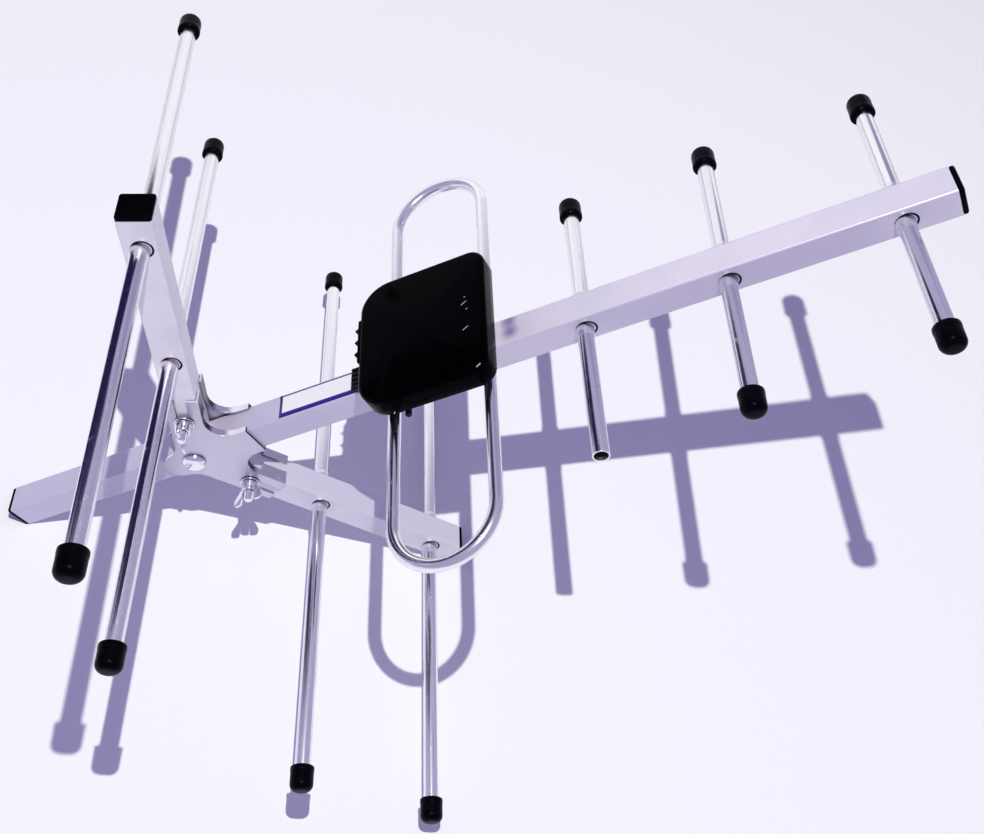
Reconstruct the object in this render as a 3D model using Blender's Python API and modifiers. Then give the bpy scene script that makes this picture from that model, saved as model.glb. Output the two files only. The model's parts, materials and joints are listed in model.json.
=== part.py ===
"""Outdoor television antenna: a square boom with three directors, a folded dipole
with its feed box, and two reflector arms held by a pair of pressed clamp plates.

Metres, +Z up.  The boom lies along X with its directors towards +X.  The origin is
on the underside of the boom, at the middle of the bare stub that a mast clamp grips.
"""
import math

import bmesh
import bpy
from mathutils import Matrix, Vector

# Clearances
GAP = 0.0003                    # between faces that touch on the real object
BORE_GAP = 0.0003               # radial, between a shank and its hole
ROD_GAP = 0.0005                # radial, between a rod and its punched hole

# Boom, a drawn square tube
BOOM_SIDE = 0.020
BOOM_WALL = 0.0012
BOOM_CORNER = 0.0010
BOOM_LENGTH = 0.644
MAST_GRIP_FROM_REAR = 0.060     # middle of the bare stub
PLUG_PROUD = 0.0025             # how far an end plug stands out of its tube
PLUG_DEPTH = 0.012
PLUG_CORNER = 0.0015
PLUG_BEVEL = 0.0012             # width of the sloped border of a boom plug
PLUG_CROWN = 0.0007             # and how far it rises

# Rods, all pushed through punched holes
ROD_DIAMETER = 0.010
ROD_WALL = 0.0010
BEAD_RADIUS = 0.0059            # swaged shoulder that keeps a rod from sliding
BEAD_LENGTH = 0.0034
BEAD_TAPER = 0.0026

# Directors: share of the way from the feed box to the boom's front end, length over
# both caps, sideways shift, and how many degrees askew each sits, in plan
FIRST_DIRECTOR = (0.1812, 0.2052, -0.0020, 0.0)
SECOND_DIRECTOR = (0.5144, 0.2068, -0.0013, 1.6)
THIRD_DIRECTOR = (0.8883, 0.1972, -0.0020, 0.3)
BARE_DIRECTOR = 1               # the first director has lost its near cap

# Push-on rod caps
CAP_RADIUS = 0.0071
CAP_LIP_RADIUS = 0.0073
CAP_LIP_LENGTH = 0.0018
CAP_END = 0.0020
CAP_LENGTH = 0.0145
CAP_SHOULDER = 0.0036

# Reflector arms
VERTEX_FROM_REAR = 0.1510       # where both arm axes meet the boom's axis
ARM_ANGLE = math.radians(62.7)
ARM_SIDE = 0.020
ARM_WALL = 0.0012
ARM_START = 0.0170              # distances along an arm, from the vertex
ARM_END = 0.2134
ARM_BOLT_AT = 0.0420
INNER_ROD_AT = 0.0972
OUTER_ROD_AT = 0.1928

# Reflector rods: length over both caps, sideways shift, askew in plan and in elevation
UPPER_INNER_ROD = (0.4118, -0.0038, 0.54, -0.52)
UPPER_OUTER_ROD = (0.4240, -0.0009, -0.23, 0.0)
LOWER_INNER_ROD = (0.4312, 0.0033, -0.1, 0.0)
LOWER_OUTER_ROD = (0.4260, 0.0006, 0.0, 0.0)

# Pressed clamp plates
SHEET = 0.0015
PLATE_FRONT = 0.0485            # ahead of the vertex
PLATE_NOSE_AT = -0.0115         # centre of the rounded rear end
PLATE_NOSE_STAND = 0.0010       # how far the nose stands out over the boom's height
PLATE_LEG_END = 0.0630          # along an arm
PLATE_FRONT_FILLET = 0.0137
PLATE_REAR_FILLET = 0.0140
RIM_DEPTH = 0.0030              # turned-in stiffening rim
FLANGE_START = 0.0440           # along an arm
NEAR_FLANGE_DEPTH = 0.0085
FAR_FLANGE_DEPTH = 0.0050
SLOT_WIDTH = 0.0080

# Fasteners
BOLT_RADIUS = 0.0030
WASHER_RADIUS = 0.0065
WASHER_THICKNESS = 0.0012
HEX_ACROSS_FLATS = 0.0100
HEX_HEAD_HEIGHT = 0.0040
HEX_NUT_HEIGHT = 0.0050
BOLT_TAIL = 0.0020              # thread left standing past the boom's nut
ARM_BOLT_TAIL = 0.0070          # and past a wing nut's hub
DOME_RADIUS = 0.0078
DOME_HEIGHT = 0.0044
WING_HUB_RADIUS = 0.0058
WING_HUB_HEIGHT = 0.0065
WING_HEIGHT = 0.0150
WING_REACH = 0.0125
WING_TIP_WIDTH = 0.0070
WING_THICKNESS = 0.0020
UPPER_WING_TURN = math.radians(65)
LOWER_WING_TURN = math.radians(9)

# Folded dipole
LOOP_DIAMETER = 0.010
LOOP_WALL = 0.0010
LOOP_FROM_REAR = 0.3440
LOOP_RADIUS = 0.0315            # of the end bends, to the tube's centre
LOOP_HALF_SPAN = 0.1490         # from its middle to a bend's centre line
LOOP_SIDEWAYS = -0.0038         # the loop sits slightly off the boom's middle
LOOP_ABOVE_BOOM = 0.0065        # tube centre over the boom's top face
FEED_GAP = 0.018                # between the two ends inside the box

# Feed box
BOX_REAR_OVERHANG = 0.0140      # past the dipole's rear leg
BOX_FRONT_OVERHANG = 0.0080     # and past its front leg
BOX_HALF_WIDTH = 0.0485
BOX_SIDEWAYS = -0.0010
BOX_REAR_CORNER = 0.0205
BOX_FRONT_CORNER = 0.0100
BOX_WALL = 0.0020
BOX_ABOVE_BOOM = 0.0143         # the lid's lower rim hangs clear over the dipole's legs
LID_RIM_HEIGHT = 0.0112
LID_ROUND = 0.0035
LID_CROWN = 0.0012
LID_LEDGE = 0.0012              # inside the lid, what rests on the base plate
GRIP_HALF_WIDTH = 0.0170
GRIP_SIDEWAYS = 0.0060
GRIP_REACH = 0.0022
GRIP_HEIGHT = 0.0050
GRIP_EDGE = 0.0006
GRIP_TOOTH = 0.0016
GRIP_PITCH = 0.0096
TUNNEL_RADIUS = LOOP_ABOVE_BOOM - GAP          # housing round the rear leg, just clear of the boom
TUNNEL_HALF_WIDTH = 0.0340
TONGUE_REACH = 0.0195
TONGUE_HALF_WIDTH = 0.0090
TONGUE_THICKNESS = 0.0026
TONGUE_RIB = 0.0009
TONGUE_RIBS = 5
FOOT_WALL = 0.0020
FEED_WINDOW = 0.0180            # half the length of the opening over the tube's ends
SCREW_BITE = 0.0030             # how far a box screw reaches past the boom's wall
BOX_SCREW_RADIUS = 0.0018
BOX_SCREW_HEAD = 0.0036
BOX_SCREW_SPACING = 0.034

# Cable inlet, a boss under the base plate with a blank rubber nipple
INLET_FROM_BOX_REAR = 0.0235
INLET_FROM_EDGE = 0.0115        # the boss ends this far inside the box's near side
INLET_BOSS_RADIUS = 0.0042
INLET_BOSS_LENGTH = 0.0090
INLET_NECK = 0.0015
INLET_NOSE = 0.0020
INLET_NOSE_REACH = 0.0090

# Inside the feed box
BOARD_LENGTH = 0.044
BOARD_WIDTH = 0.052
BOARD_THICKNESS = 0.0016
BOARD_POST = 0.0032             # from the base plate
BOARD_POST_RADIUS = 0.0025
BOARD_POST_INSET = 0.0040       # from the board's edges
TAB_THICKNESS = 0.0008
TAB_WIDTH = 0.0060
TAB_SCREW_RADIUS = 0.0011
TAB_SCREW_HEAD = 0.0021
TAB_SCREW_HEAD_HEIGHT = 0.0018
CORE_RADIUS = 0.0065
CORE_BORE = 0.0030
CORE_HEIGHT = 0.0048
TERMINAL_SIZE = (0.012, 0.010, 0.0045)

# Facets
ROD_STEPS = 14
CAP_STEPS = 12
BOLT_STEPS = 12
HOLE_STEPS = 16
CHORD_ERROR = 0.0002            # how far a facet may cut inside an arc

# Colours as red, green, blue; then roughness and metallic
ALUMINIUM = ((0.80, 0.79, 0.83), 0.32, 1.0)
BRIGHT_TUBE = ((0.86, 0.86, 0.90), 0.16, 1.0)
ZINC = ((0.78, 0.78, 0.82), 0.28, 1.0)
GLOSS_BLACK = ((0.012, 0.012, 0.014), 0.15, 0.0)
SOFT_BLACK = ((0.015, 0.015, 0.018), 0.45, 0.0)
BOARD_GREEN = ((0.05, 0.16, 0.09), 0.45, 0.0)
BRASS = ((0.72, 0.58, 0.30), 0.30, 1.0)
FERRITE = ((0.06, 0.06, 0.065), 0.60, 0.0)

X_AXIS = Vector((1, 0, 0))
Y_AXIS = Vector((0, 1, 0))
Z_AXIS = Vector((0, 0, 1))
OVERSHOOT = 0.004               # how far a cutter runs past what it cuts

BOOM_HALF = BOOM_SIDE / 2
BOOM_TOP = BOOM_SIDE
NEAR, FAR = -1, 1
UP, DOWN = 1, -1


def station(from_rear):
    """World X of a distance from the rear end of the boom tube."""
    return from_rear - MAST_GRIP_FROM_REAR


VERTEX = Vector((station(VERTEX_FROM_REAR), 0, BOOM_HALF))
REAR_LEG = station(LOOP_FROM_REAR) - LOOP_RADIUS
FRONT_LEG = station(LOOP_FROM_REAR) + LOOP_RADIUS
BOX_REAR = REAR_LEG - BOX_REAR_OVERHANG
BOX_FRONT = FRONT_LEG + BOX_FRONT_OVERHANG
BOX_MIDDLE = (BOX_REAR + BOX_FRONT) / 2
DIRECTORS = (FIRST_DIRECTOR, SECOND_DIRECTOR, THIRD_DIRECTOR)


def director_place(share):
    """World X of a share of the way from the feed box to the boom's front end."""
    return BOX_FRONT + share * (station(BOOM_LENGTH) - BOX_FRONT)


def clear_scene():
    for item in list(bpy.data.objects):
        bpy.data.objects.remove(item, do_unlink=True)


def make_collection(name):
    group = bpy.data.collections.new(name)
    bpy.context.scene.collection.children.link(group)
    return group


def make_material(name, finish):
    colour, roughness, metallic = finish
    material = bpy.data.materials.new(name)
    material.use_nodes = True
    shader = material.node_tree.nodes["Principled BSDF"]
    shader.inputs["Base Color"].default_value = (*colour, 1)
    shader.inputs["Roughness"].default_value = roughness
    shader.inputs["Metallic"].default_value = metallic
    material.diffuse_color = (*colour, 1)
    return material


def axes(x, y, z, origin):
    """A placement whose local axes point along x, y and z."""
    matrix = Matrix.Identity(4)
    for column, axis in enumerate((x, y, z)):
        for row in range(3):
            matrix[row][column] = axis[row]
    return Matrix.Translation(origin) @ matrix


def turned_along_y(origin, direction=1):
    """A placement that turns local Z into +Y or -Y."""
    return axes(X_AXIS, -Z_AXIS * direction, Y_AXIS * direction, origin)


def upright(origin):
    """A placement with the local axes along the world's."""
    return Matrix.Translation(origin)


def side_on(origin):
    """A placement that stands an outline in the XZ plane, drawn as seen from -Y."""
    return axes(X_AXIS, Z_AXIS, -Y_AXIS, origin)


def add_mesh(name, mesh, placement, group=None, finish=None):
    item = bpy.data.objects.new(name, mesh)
    item.matrix_world = placement
    (group or CUTTERS).objects.link(item)
    if finish is None:
        item.hide_render = True
        item.display_type = "WIRE"
    else:
        mesh.materials.clear()
        mesh.materials.append(make_material(name, finish))
    return item


def smooth(item, angle=math.radians(35)):
    item.data.shade_smooth()
    item.data.set_sharp_from_angle(angle=angle)


def apply_modifiers(item):
    """Replace an object's mesh with what its modifiers make of it."""
    bpy.context.view_layer.update()
    evaluated = item.evaluated_get(bpy.context.evaluated_depsgraph_get())
    mesh = bpy.data.meshes.new_from_object(evaluated)
    item.modifiers.clear()
    item.data = mesh


def boolean(item, tool, operation):
    step = item.modifiers.new(operation.lower(), "BOOLEAN")
    step.operation = operation
    step.object = tool
    step.solver = "EXACT"


def cut(item, *tools):
    for tool in tools:
        boolean(item, tool, "DIFFERENCE")


def join(item, *tools):
    for tool in tools:
        boolean(item, tool, "UNION")


def arc(centre, radius, start, end):
    """Points on an arc from one angle to another, both ends included."""
    step_angle = 2 * math.acos(1 - CHORD_ERROR / max(radius, 2 * CHORD_ERROR))
    count = max(2, round(abs(end - start) / step_angle))
    angles = [start + (end - start) * step / count for step in range(count + 1)]
    return [(centre[0] + radius * math.cos(a), centre[1] + radius * math.sin(a)) for a in angles]


def filleted(corners):
    """An outline from corners (x, y, radius), with each radius rounded off."""
    points = []
    for index, (x, y, radius) in enumerate(corners):
        corner = Vector((x, y))
        if radius == 0:
            points.append((x, y))
            continue
        before = (Vector(corners[index - 1][:2]) - corner).normalized()
        after = (Vector(corners[(index + 1) % len(corners)][:2]) - corner).normalized()
        half = before.angle(after) / 2
        centre = corner + (before + after).normalized() * radius / math.sin(half)
        first = corner + before * radius / math.tan(half) - centre
        last = corner + after * radius / math.tan(half) - centre
        start = math.atan2(first.y, first.x)
        sweep = (math.atan2(last.y, last.x) - start + math.pi) % (2 * math.pi) - math.pi
        points += arc(centre, radius, start, start + sweep)
    return points


def rounded_square(side, radius):
    half = side / 2
    return filleted([(half, half, radius), (-half, half, radius),
                     (-half, -half, radius), (half, -half, radius)])


def outline_mesh(name, outlines, depth):
    """A flat shape of one or more closed outlines, extruded by depth about its middle."""
    curve = bpy.data.curves.new(name, "CURVE")
    curve.dimensions = "2D"
    curve.fill_mode = "BOTH"
    curve.extrude = depth / 2
    for outline in outlines:
        spline = curve.splines.new("POLY")
        spline.points.add(len(outline) - 1)
        for point, (x, y) in zip(spline.points, outline):
            point.co = (x, y, 0, 1)
        spline.use_cyclic_u = True
    return welded_curve(name, curve)


def welded_curve(name, curve):
    """Turn a curve into a closed mesh and drop the curve."""
    holder = bpy.data.objects.new(name + "_curve", curve)
    bpy.context.scene.collection.objects.link(holder)
    bpy.context.view_layer.update()
    evaluated = holder.evaluated_get(bpy.context.evaluated_depsgraph_get())
    mesh = bpy.data.meshes.new_from_object(evaluated)
    bpy.data.objects.remove(holder, do_unlink=True)
    bpy.data.curves.remove(curve)
    work = bmesh.new()
    work.from_mesh(mesh)
    bmesh.ops.remove_doubles(work, verts=work.verts, dist=0.00001)
    bmesh.ops.recalc_face_normals(work, faces=work.faces)
    work.to_mesh(mesh)
    work.free()
    return mesh


def turned(name, profile, placement, steps, group=None, finish=None, closed=False):
    """A turned piece: profile points (radius, height) run down the outer side."""
    work = bmesh.new()
    corners = [work.verts.new((radius, 0, height)) for radius, height in profile]
    pairs = list(zip(corners, corners[1:]))
    if closed:
        pairs.append((corners[-1], corners[0]))
    for first, second in pairs:
        work.edges.new((first, second))
    mesh = bpy.data.meshes.new(name)
    work.to_mesh(mesh)
    work.free()
    item = add_mesh(name, mesh, placement, group, finish)
    screw = item.modifiers.new("turn", "SCREW")
    screw.steps = steps
    screw.render_steps = steps
    screw.use_merge_vertices = True
    screw.merge_threshold = 0.00001
    apply_modifiers(item)
    work = bmesh.new()
    work.from_mesh(item.data)
    bmesh.ops.recalc_face_normals(work, faces=work.faces)
    work.to_mesh(item.data)
    work.free()
    if finish is not None:
        smooth(item)
    return item


def disc(name, radius, low, high, placement, steps=HOLE_STEPS, group=None, finish=None):
    """A plain cylinder about local Z, from one height to another."""
    work = bmesh.new()
    bmesh.ops.create_cone(work, cap_ends=True, segments=steps,
                          radius1=radius, radius2=radius, depth=high - low)
    bmesh.ops.translate(work, vec=Z_AXIS * (low + high) / 2, verts=work.verts)
    mesh = bpy.data.meshes.new(name)
    work.to_mesh(mesh)
    work.free()
    return add_mesh(name, mesh, placement, group, finish)


def block(name, low, high, group=None, finish=None, bevel=0.0):
    """A box between two corners in the world's frame, with its edges broken."""
    low, high = Vector(low), Vector(high)
    work = bmesh.new()
    bmesh.ops.create_cube(work, size=1)
    bmesh.ops.scale(work, vec=high - low, verts=work.verts)
    mesh = bpy.data.meshes.new(name)
    work.to_mesh(mesh)
    work.free()
    item = add_mesh(name, mesh, upright((low + high) / 2), group, finish)
    if bevel:
        edge = item.modifiers.new("edge", "BEVEL")
        edge.width = bevel
        edge.segments = 2
        apply_modifiers(item)
    return item


def arm_axes(side):
    """Directions along an arm and out of its front face; side is UP or DOWN."""
    along = Vector((math.cos(ARM_ANGLE), 0, side * math.sin(ARM_ANGLE)))
    front = Vector((math.sin(ARM_ANGLE), 0, -side * math.cos(ARM_ANGLE)))
    return along, front


def on_arm(side, distance, y=0.0):
    """A point on an arm's axis, at a distance from the vertex."""
    return VERTEX + arm_axes(side)[0] * distance + Y_AXIS * y


def square_tube(name, side, wall, corner, length, placement):
    outer = rounded_square(side, corner)
    inner = rounded_square(side - 2 * wall, 0)
    mesh = outline_mesh(name, [outer, inner], length)
    return add_mesh(name, mesh, placement, PARTS, ALUMINIUM)


def cross_hole(name, centre, radius):
    """A cutter for a round hole right through a tube, along Y."""
    reach = BOOM_HALF + OVERSHOOT
    return disc(name, radius, -reach, reach, turned_along_y(centre))


def build_boom():
    middle = axes(Y_AXIS, Z_AXIS, X_AXIS, Vector((station(BOOM_LENGTH / 2), 0, BOOM_HALF)))
    boom = square_tube("boom", BOOM_SIDE, BOOM_WALL, BOOM_CORNER, BOOM_LENGTH, middle)
    for number, director in enumerate(DIRECTORS, 1):
        centre = Vector((director_place(director[0]), 0, BOOM_HALF))
        cut(boom, cross_hole(f"director_hole_{number}", centre, ROD_DIAMETER / 2 + ROD_GAP))
    cut(boom, cross_hole("boom_bolt_hole", VERTEX, BOLT_RADIUS + BORE_GAP))
    for x in box_screw_places():
        hole = upright((x, 0, BOOM_TOP))
        cut(boom, disc("box_screw_hole", BOX_SCREW_RADIUS + BORE_GAP, -OVERSHOOT, OVERSHOOT, hole))
    apply_modifiers(boom)
    for name, end, direction in (("boom_front_plug", BOOM_LENGTH, 1), ("boom_rear_plug", 0.0, -1)):
        face = Vector((station(end), 0, BOOM_HALF))
        placement = axes(Y_AXIS * direction, Z_AXIS, X_AXIS * direction, face)
        build_plug(name, BOOM_SIDE, BOOM_WALL, placement, PLUG_CROWN)


def build_plug(name, side, wall, placement, crown=0.0):
    """A moulded plug: a plate over the tube's end and a block inside it."""
    mesh = outline_mesh(name, [rounded_square(side, PLUG_CORNER)], PLUG_PROUD - GAP)
    plug = add_mesh(name, mesh, placement @ upright((0, 0, (PLUG_PROUD + GAP) / 2)), PARTS, SOFT_BLACK)
    if crown:
        work = bmesh.new()
        work.from_mesh(mesh)
        top = [face for face in work.faces if face.normal.z > 0.9]
        bmesh.ops.inset_region(work, faces=top, thickness=PLUG_BEVEL, depth=crown, use_even_offset=True)
        work.to_mesh(mesh)
        work.free()
    inside = side / 2 - wall - GAP
    stub = outline_mesh(name + "_stub", [rounded_square(2 * inside, 0)], PLUG_DEPTH)
    middle = upright((0, 0, GAP + PLUG_PROUD / 2 - PLUG_DEPTH / 2))
    join(plug, add_mesh(name + "_stub", stub, placement @ middle))
    apply_modifiers(plug)


def askew_along_y(centre, in_plan, in_elevation):
    """A rod's placement: along Y, then turned by two small angles in degrees."""
    lift = Matrix.Rotation(math.radians(in_elevation), 4, "X")
    swing = Matrix.Rotation(math.radians(-in_plan), 4, "Z")
    return Matrix.Translation(centre) @ lift @ swing @ turned_along_y(Vector())


def rod_profile(span, sideways):
    """Outer side down, then the bore: a tube with a swaged bead each side of its carrier."""
    outer = ROD_DIAMETER / 2
    near_bead = BOOM_HALF + GAP
    far_bead = near_bead + BEAD_LENGTH
    half = [(outer, far_bead + BEAD_TAPER), (BEAD_RADIUS, far_bead)]
    half += [(BEAD_RADIUS, near_bead), (outer, near_bead)]
    high = rod_end(span, sideways, FAR)
    low = rod_end(span, sideways, NEAR)
    profile = [(outer, high)] + half + [(radius, -height) for radius, height in reversed(half)]
    bore = outer - ROD_WALL
    return profile + [(outer, low), (bore, low), (bore, high)]


def rod_end(span, sideways, end):
    """Where a rod's tube stops, along its axis; end is NEAR or FAR."""
    return sideways + end * (span / 2 - CAP_END - GAP)


def build_rod(name, placement, span, sideways):
    profile = rod_profile(span, sideways)
    return turned(name, profile, placement, ROD_STEPS, PARTS, BRIGHT_TUBE, closed=True)


def cap_profile():
    """A push-on cap about local Z, with the rod's end at height zero."""
    tip = CAP_END + GAP
    mouth = tip - CAP_LENGTH
    bore = ROD_DIAMETER / 2 + GAP
    return [
        (0, tip),
        (CAP_RADIUS * 0.70, tip - 0.0002),
        (CAP_RADIUS * 0.94, tip - CAP_SHOULDER * 0.35),
        (CAP_RADIUS, tip - CAP_SHOULDER),
        (CAP_RADIUS, mouth + CAP_LIP_LENGTH * 1.7),
        (CAP_LIP_RADIUS, mouth + CAP_LIP_LENGTH),
        (CAP_LIP_RADIUS, mouth),
        (bore, mouth),
        (bore, GAP),
        (0, GAP),
    ]


def build_cap(name, placement, span, sideways, end):
    """One cap on a rod; end is NEAR or FAR."""
    along = placement @ Matrix.Translation((0, 0, rod_end(span, sideways, end)))
    if end == NEAR:
        along = along @ Matrix.Rotation(math.pi, 4, "X")
    return turned(name, cap_profile(), along, CAP_STEPS, PARTS, SOFT_BLACK)


def build_directors():
    for number, (share, span, sideways, askew) in enumerate(DIRECTORS, 1):
        centre = Vector((director_place(share), 0, BOOM_HALF))
        placement = askew_along_y(centre, askew, 0)
        name = f"director_{number}"
        build_rod(name, placement, span, sideways)
        build_cap(f"{name}_far_cap", placement, span, sideways, FAR)
        if number != BARE_DIRECTOR:
            build_cap(f"{name}_near_cap", placement, span, sideways, NEAR)


def build_arm(name, side):
    along, front = arm_axes(side)
    length = ARM_END - ARM_START
    middle = axes(Y_AXIS * side, -front, along, on_arm(side, (ARM_START + ARM_END) / 2))
    arm = square_tube(name, ARM_SIDE, ARM_WALL, BOOM_CORNER, length, middle)
    for number, distance in enumerate((INNER_ROD_AT, OUTER_ROD_AT), 1):
        hole = ROD_DIAMETER / 2 + ROD_GAP
        cut(arm, cross_hole(f"{name}_rod_hole_{number}", on_arm(side, distance), hole))
    cut(arm, cross_hole(f"{name}_bolt_hole", on_arm(side, ARM_BOLT_AT), BOLT_RADIUS + BORE_GAP))
    apply_modifiers(arm)
    end = axes(Y_AXIS * side, -front, along, on_arm(side, ARM_END))
    build_plug(f"{name}_plug", ARM_SIDE, ARM_WALL, end)


def build_reflectors():
    build_arm("upper_arm", UP)
    build_arm("lower_arm", DOWN)
    rods = (
        ("upper_inner_reflector", UP, INNER_ROD_AT, UPPER_INNER_ROD),
        ("upper_outer_reflector", UP, OUTER_ROD_AT, UPPER_OUTER_ROD),
        ("lower_inner_reflector", DOWN, INNER_ROD_AT, LOWER_INNER_ROD),
        ("lower_outer_reflector", DOWN, OUTER_ROD_AT, LOWER_OUTER_ROD),
    )
    for name, side, distance, (span, sideways, in_plan, in_elevation) in rods:
        placement = askew_along_y(on_arm(side, distance), in_plan, in_elevation)
        build_rod(name, placement, span, sideways)
        build_cap(f"{name}_near_cap", placement, span, sideways, NEAR)
        build_cap(f"{name}_far_cap", placement, span, sideways, FAR)


def plate_outline(sheet, margin):
    """A clamp plate's outline about the vertex, in X and Z.

    The front edges stand off the boom and the arms by the gap and a sheet thickness.
    The other edges grow by the margin, which a cutter uses to run past them.
    """
    along = Vector((math.cos(ARM_ANGLE), math.sin(ARM_ANGLE)))
    front = Vector((along.y, -along.x))
    half = BOOM_HALF + GAP + sheet
    front_offset = ARM_SIDE / 2 + GAP + sheet
    rear_offset = ARM_SIDE / 2 + margin
    nose = BOOM_HALF + PLATE_NOSE_STAND + margin
    nose_round = nose * 0.98
    leg_end = PLATE_LEG_END + margin
    front_corner = front * front_offset + along * ((half - front.y * front_offset) / along.y)
    leg_front = front * front_offset + along * leg_end
    leg_rear = along * leg_end - front * rear_offset
    rear_corner = along * ((nose + front.y * rear_offset) / along.y) - front * rear_offset
    upper = [
        (PLATE_FRONT + margin, half, 0),
        (*front_corner, PLATE_FRONT_FILLET + SHEET - sheet),
        (*leg_front, 0),
        (*leg_rear, 0),
        (*rear_corner, PLATE_REAR_FILLET - margin),
    ]
    nose_end = PLATE_NOSE_AT - nose
    lower = [(x, -z, radius) for x, z, radius in reversed(upper)]
    return filleted(upper + [(nose_end, nose, nose_round), (nose_end, -nose, nose_round)] + lower)


def plate_layer(name, outline, face, low, high, group=None, finish=None):
    """A flat shape about the vertex, between two distances from the middle plane."""
    mesh = outline_mesh(name, [outline], high - low)
    return add_mesh(name, mesh, side_on(VERTEX + Y_AXIS * face * (low + high) / 2), group, finish)


def inside_flanges(margin):
    """The area between the two flanges, which the low rim borders."""
    def at(x):
        return x, (FLANGE_START - x * math.cos(ARM_ANGLE)) / math.sin(ARM_ANGLE)
    rear, front = at(PLATE_NOSE_AT - BOOM_SIDE), at(PLATE_FRONT + margin)
    return [rear, front, (front[0], -front[1]), (rear[0], -rear[1])]


def build_plate(name, face, flange_depth):
    """One pressed plate, drawn from a thick blank: a pocket leaves the sheet and its rim.

    Face is NEAR or FAR.  Beside the arms the rim is deeper and laps them as a flange.
    """
    inner = BOOM_HALF + GAP
    outer = inner + SHEET
    flange_end = outer - SHEET - flange_depth
    plate = plate_layer(name, plate_outline(SHEET, 0), face, flange_end, outer, PARTS, ZINC)
    start = flange_end - OVERSHOOT
    cut(plate, plate_layer("pocket", plate_outline(0, OVERSHOOT), face, start, inner))
    cut(plate, plate_layer("trim", inside_flanges(OVERSHOOT), face, start, inner - RIM_DEPTH))
    middle = turned_along_y(VERTEX + Y_AXIS * face * (inner + SHEET / 2))
    cut(plate, disc("plate_bolt_hole", BOLT_RADIUS + BORE_GAP, -OVERSHOOT, OVERSHOOT, middle))
    half = SLOT_WIDTH / 2
    run_out = PLATE_LEG_END - ARM_BOLT_AT + OVERSHOOT
    stadium = arc((0, 0), half, math.radians(90), math.radians(270))
    stadium += [(run_out, -half), (run_out, half)]
    for side in (UP, DOWN):
        along, front = arm_axes(side)
        slot = outline_mesh("slot", [stadium], SHEET + OVERSHOOT)
        centre = on_arm(side, ARM_BOLT_AT, face * (inner + SHEET / 2))
        cut(plate, add_mesh("slot", slot, axes(along, front * -side, -Y_AXIS, centre)))
    apply_modifiers(plate)


def hexagon(across_flats):
    radius = across_flats / math.sqrt(3)
    angles = [math.radians(60 * k) for k in range(6)]
    return [(radius * math.cos(a), radius * math.sin(a)) for a in angles]


def hex_piece(name, low, high, placement, finish=None, group=None):
    mesh = outline_mesh(name, [hexagon(HEX_ACROSS_FLATS)], high - low)
    return add_mesh(name, mesh, placement @ upright((0, 0, (low + high) / 2)), group, finish)


def washer(name, centre, face):
    """A flat washer lying on a clamp plate, with local Z pointing away from it."""
    low = BOOM_HALF + SHEET + 2 * GAP
    bore = BOLT_RADIUS + BORE_GAP
    high = low + WASHER_THICKNESS
    profile = [(WASHER_RADIUS, high), (WASHER_RADIUS, low), (bore, low), (bore, high)]
    return turned(name, profile, turned_along_y(centre, face), BOLT_STEPS, PARTS, ZINC, closed=True)


def seat_height():
    """Distance from the middle plane to a nut that sits on a washer."""
    return BOOM_HALF + SHEET + WASHER_THICKNESS + 3 * GAP


def build_boom_bolt():
    """A domed bolt through both plates and the boom, with its nut on the far side."""
    under_head = BOOM_HALF + SHEET + 2 * GAP
    tail = seat_height() + HEX_NUT_HEIGHT + BOLT_TAIL
    dome = [(0, under_head + DOME_HEIGHT)]
    dome += [(DOME_RADIUS * math.sin(a), under_head + DOME_HEIGHT * (0.25 + 0.75 * math.cos(a)))
             for a in (math.radians(d) for d in (25, 50, 72, 90))]
    profile = dome + [(DOME_RADIUS, under_head), (BOLT_RADIUS, under_head)]
    profile += [(BOLT_RADIUS, -tail), (0, -tail)]
    turned("boom_bolt", profile, turned_along_y(VERTEX, NEAR), BOLT_STEPS, PARTS, ZINC)
    washer("boom_washer", VERTEX, FAR)
    far = turned_along_y(VERTEX, FAR)
    nut = hex_piece("boom_nut", seat_height(), seat_height() + HEX_NUT_HEIGHT, far, ZINC, PARTS)
    cut(nut, disc("boom_nut_bore", BOLT_RADIUS + BORE_GAP, 0, tail + OVERSHOOT, far))
    apply_modifiers(nut)


def build_arm_bolts():
    """Hexagon-headed bolts through the plates and arms, headed on the far side."""
    for side, label in ((UP, "upper"), (DOWN, "lower")):
        centre = on_arm(side, ARM_BOLT_AT)
        tail = seat_height() + WING_HUB_HEIGHT + ARM_BOLT_TAIL
        under_head = seat_height()
        placement = turned_along_y(centre, FAR)
        name = f"{label}_arm_bolt"
        inside_head = under_head + HEX_HEAD_HEIGHT / 2
        bolt = disc(name, BOLT_RADIUS, -tail, inside_head, placement, BOLT_STEPS, PARTS, ZINC)
        join(bolt, hex_piece(name + "_head", under_head, under_head + HEX_HEAD_HEIGHT, placement))
        apply_modifiers(bolt)
        washer(f"{label}_arm_near_washer", centre, NEAR)
        washer(f"{label}_arm_far_washer", centre, FAR)


def wing_outline():
    """One wing, as distance from the nut's axis and height over its seat."""
    reach, top = WING_REACH, WING_HEIGHT
    root = BOLT_RADIUS * 0.8
    return filleted([
        (root, top * 0.06, 0),
        (WING_HUB_RADIUS * 0.94, top * 0.06, 0),
        (reach, top * 0.68, 0.004),
        (reach - 0.0005, top, 0.0025),
        (reach - WING_TIP_WIDTH, top, 0.0016),
        (WING_HUB_RADIUS * 0.80, WING_HUB_HEIGHT * 0.85, 0),
        (root, WING_HUB_HEIGHT * 0.7, 0),
    ])


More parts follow.
